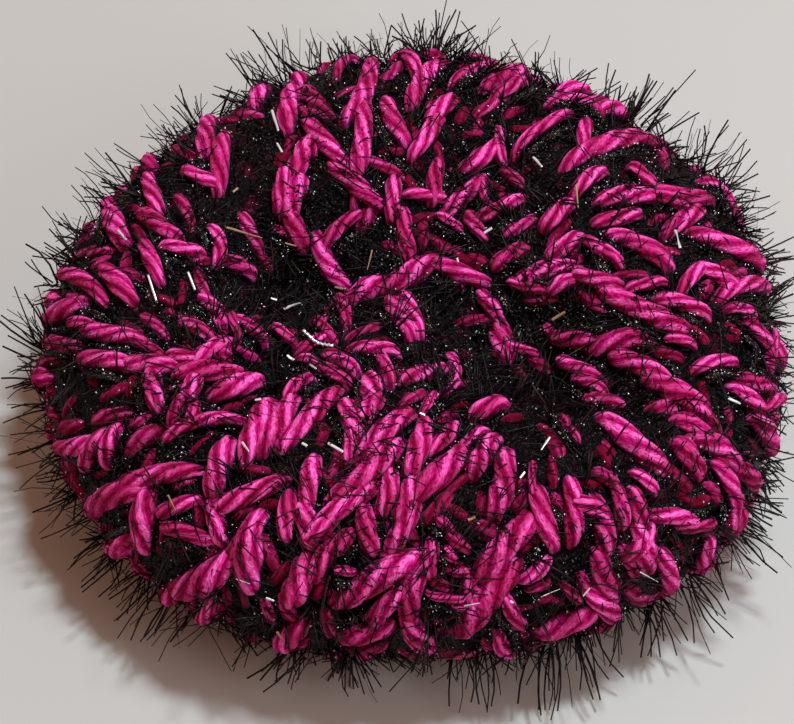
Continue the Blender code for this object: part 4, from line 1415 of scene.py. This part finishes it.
def nap(stitch_pieces, material):
    """Short loose fibres of the pink cotton."""
    starts, ups = [], []
    least, more = NAP_FLANK
    for piece in stitch_pieces:
        mesh = piece.data
        flank = np.cos(vectors(mesh.attributes["yarn"].data, "vector")[:, 1]) ** 2
        chosen = rng.random(len(mesh.vertices)) < NAP_SHARE * (least + more * flank)
        starts.append(vectors(mesh.vertices, "co")[chosen] / MM)
        ups.append(vectors(mesh.vertices, "normal")[chosen])
    start, up = np.concatenate(starts), np.concatenate(ups)
    heading, _ = directions(up, *NAP_LEAN)
    paths = hair_paths(start, heading, 0.0, NAP_LENGTH, 2, NAP_CURL)
    width = rng.uniform(*NAP_WIDTH, len(start))
    return shaded_hairs("pink_nap", above_floor(paths, NAP_FLOOR), width, material, blunt=False)


# ---------------------------------------------------------------- the studio
def studio():
    """A plain floor, warm surroundings and two soft lights."""
    mesh = bpy.data.meshes.new("floor")
    corners = [(FLOOR_HALF * x, FLOOR_HALF * y, 0) for x, y in ((-1, -1), (1, -1), (1, 1), (-1, 1))]
    mesh.from_pydata(corners, [], [(0, 1, 2, 3)])
    floor = bpy.data.objects.new("floor", mesh)
    floor.location.z = -FLOOR_DROP
    mesh.materials.append(plain("floor"))
    bpy.context.scene.collection.objects.link(floor)

    world = bpy.data.worlds.new("studio")
    world.use_nodes = True
    background = world.node_tree.nodes["Background"]
    background.inputs["Color"].default_value = SURROUNDINGS
    background.inputs["Strength"].default_value = SURROUNDINGS_STRENGTH
    bpy.context.scene.world = world
    bpy.context.scene.view_settings.view_transform = "Standard"
    for light in LIGHTS:
        area_light(*light)


def area_light(name, place, size, power, colour):
    light = bpy.data.lights.new(name, "AREA")
    light.shape, light.size, light.energy, light.color = "DISK", size, power, colour
    lamp = bpy.data.objects.new(name, light)
    lamp.location = place
    lamp.rotation_euler = (Vector(LIGHTS_AIM) - Vector(place)).to_track_quat("-Z", "Y").to_euler()
    bpy.context.scene.collection.objects.link(lamp)


def camera():
    """The photo's view, without shift."""
    place, _, _, back = camera_pose()
    data = bpy.data.cameras.new("camera")
    data.sensor_width = SENSOR
    data.lens = PIXELS_PER_MM * DISTANCE / IMAGE_SIZE[0] * SENSOR
    data.dof.use_dof = False
    cam = bpy.data.objects.new("camera", data)
    cam.location = Vector(place) * MM
    cam.rotation_euler = Vector(back).to_track_quat("Z", "Y").to_euler()
    bpy.context.scene.collection.objects.link(cam)
    bpy.context.scene.camera = cam


def main():
    camera()
    studio()
    view = PadView()
    pink = pink_cotton()
    shown = photo_legs(view)
    others = spare_legs(shown, 0.0, 1.0, LEG_CLEARANCE)
    filling = filling_legs(joined(shown, others))
    half = LEG_POINTS // 2
    far = np.sin(shown.angles[:, half]) * shown.meridians[:, half] > BACK_LINE
    high = others.meridians[:, half] < SIDE_SHARE * MERIDIAN
    stitch_pieces = [
        pink_piece("pink_stitches_back", picked(shown, far), pink),
        pink_piece("pink_stitches_front", picked(shown, ~far), pink),
        pink_piece("pink_stitches_side", picked(others, high), pink),
        pink_piece("pink_stitches_under", picked(others, ~high), pink),
        pink_piece("pink_stitches_between", filling, pink, FILL_SIDES),
    ]
    legs = joined(shown, others)
    deep = joined(deep_legs(shown), deep_legs(shown))
    stitch_pieces.append(pink_piece("pink_stitches_deep", deep, pink, DEEP_SIDES, None))
    strands = Strands(joined(legs, filling, deep))
    body = core(core_wool())
    lines = thread_lines(legs, strands)
    threads = black_threads(lines, black_thread())
    black = shaded("black_lash", LASH_STOPS, 0.38, 0.14)
    lashes = lash_hairs(lines, strands, black, plain("black_fluff"), plain("grey_lash"))
    lashes.append(bristles(view, black))
    glints = flakes("silver_glints", lines, plain("silver_tinsel"))
    tinsel = loose_bits("silver_tinsel", TINSEL, view, plain("silver_tinsel"))
    bits = loose_bits("straw_bits", STRAW_BITS, view, plain("straw_bits"))
    fuzz = nap(stitch_pieces, shaded("pink_nap", NAP_STOPS, 0.9, 0.05))

    for piece in (*stitch_pieces, body):
        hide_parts("knitted_pad")
    for piece in (threads, *lashes):
        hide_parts("lash_yarn")


main()
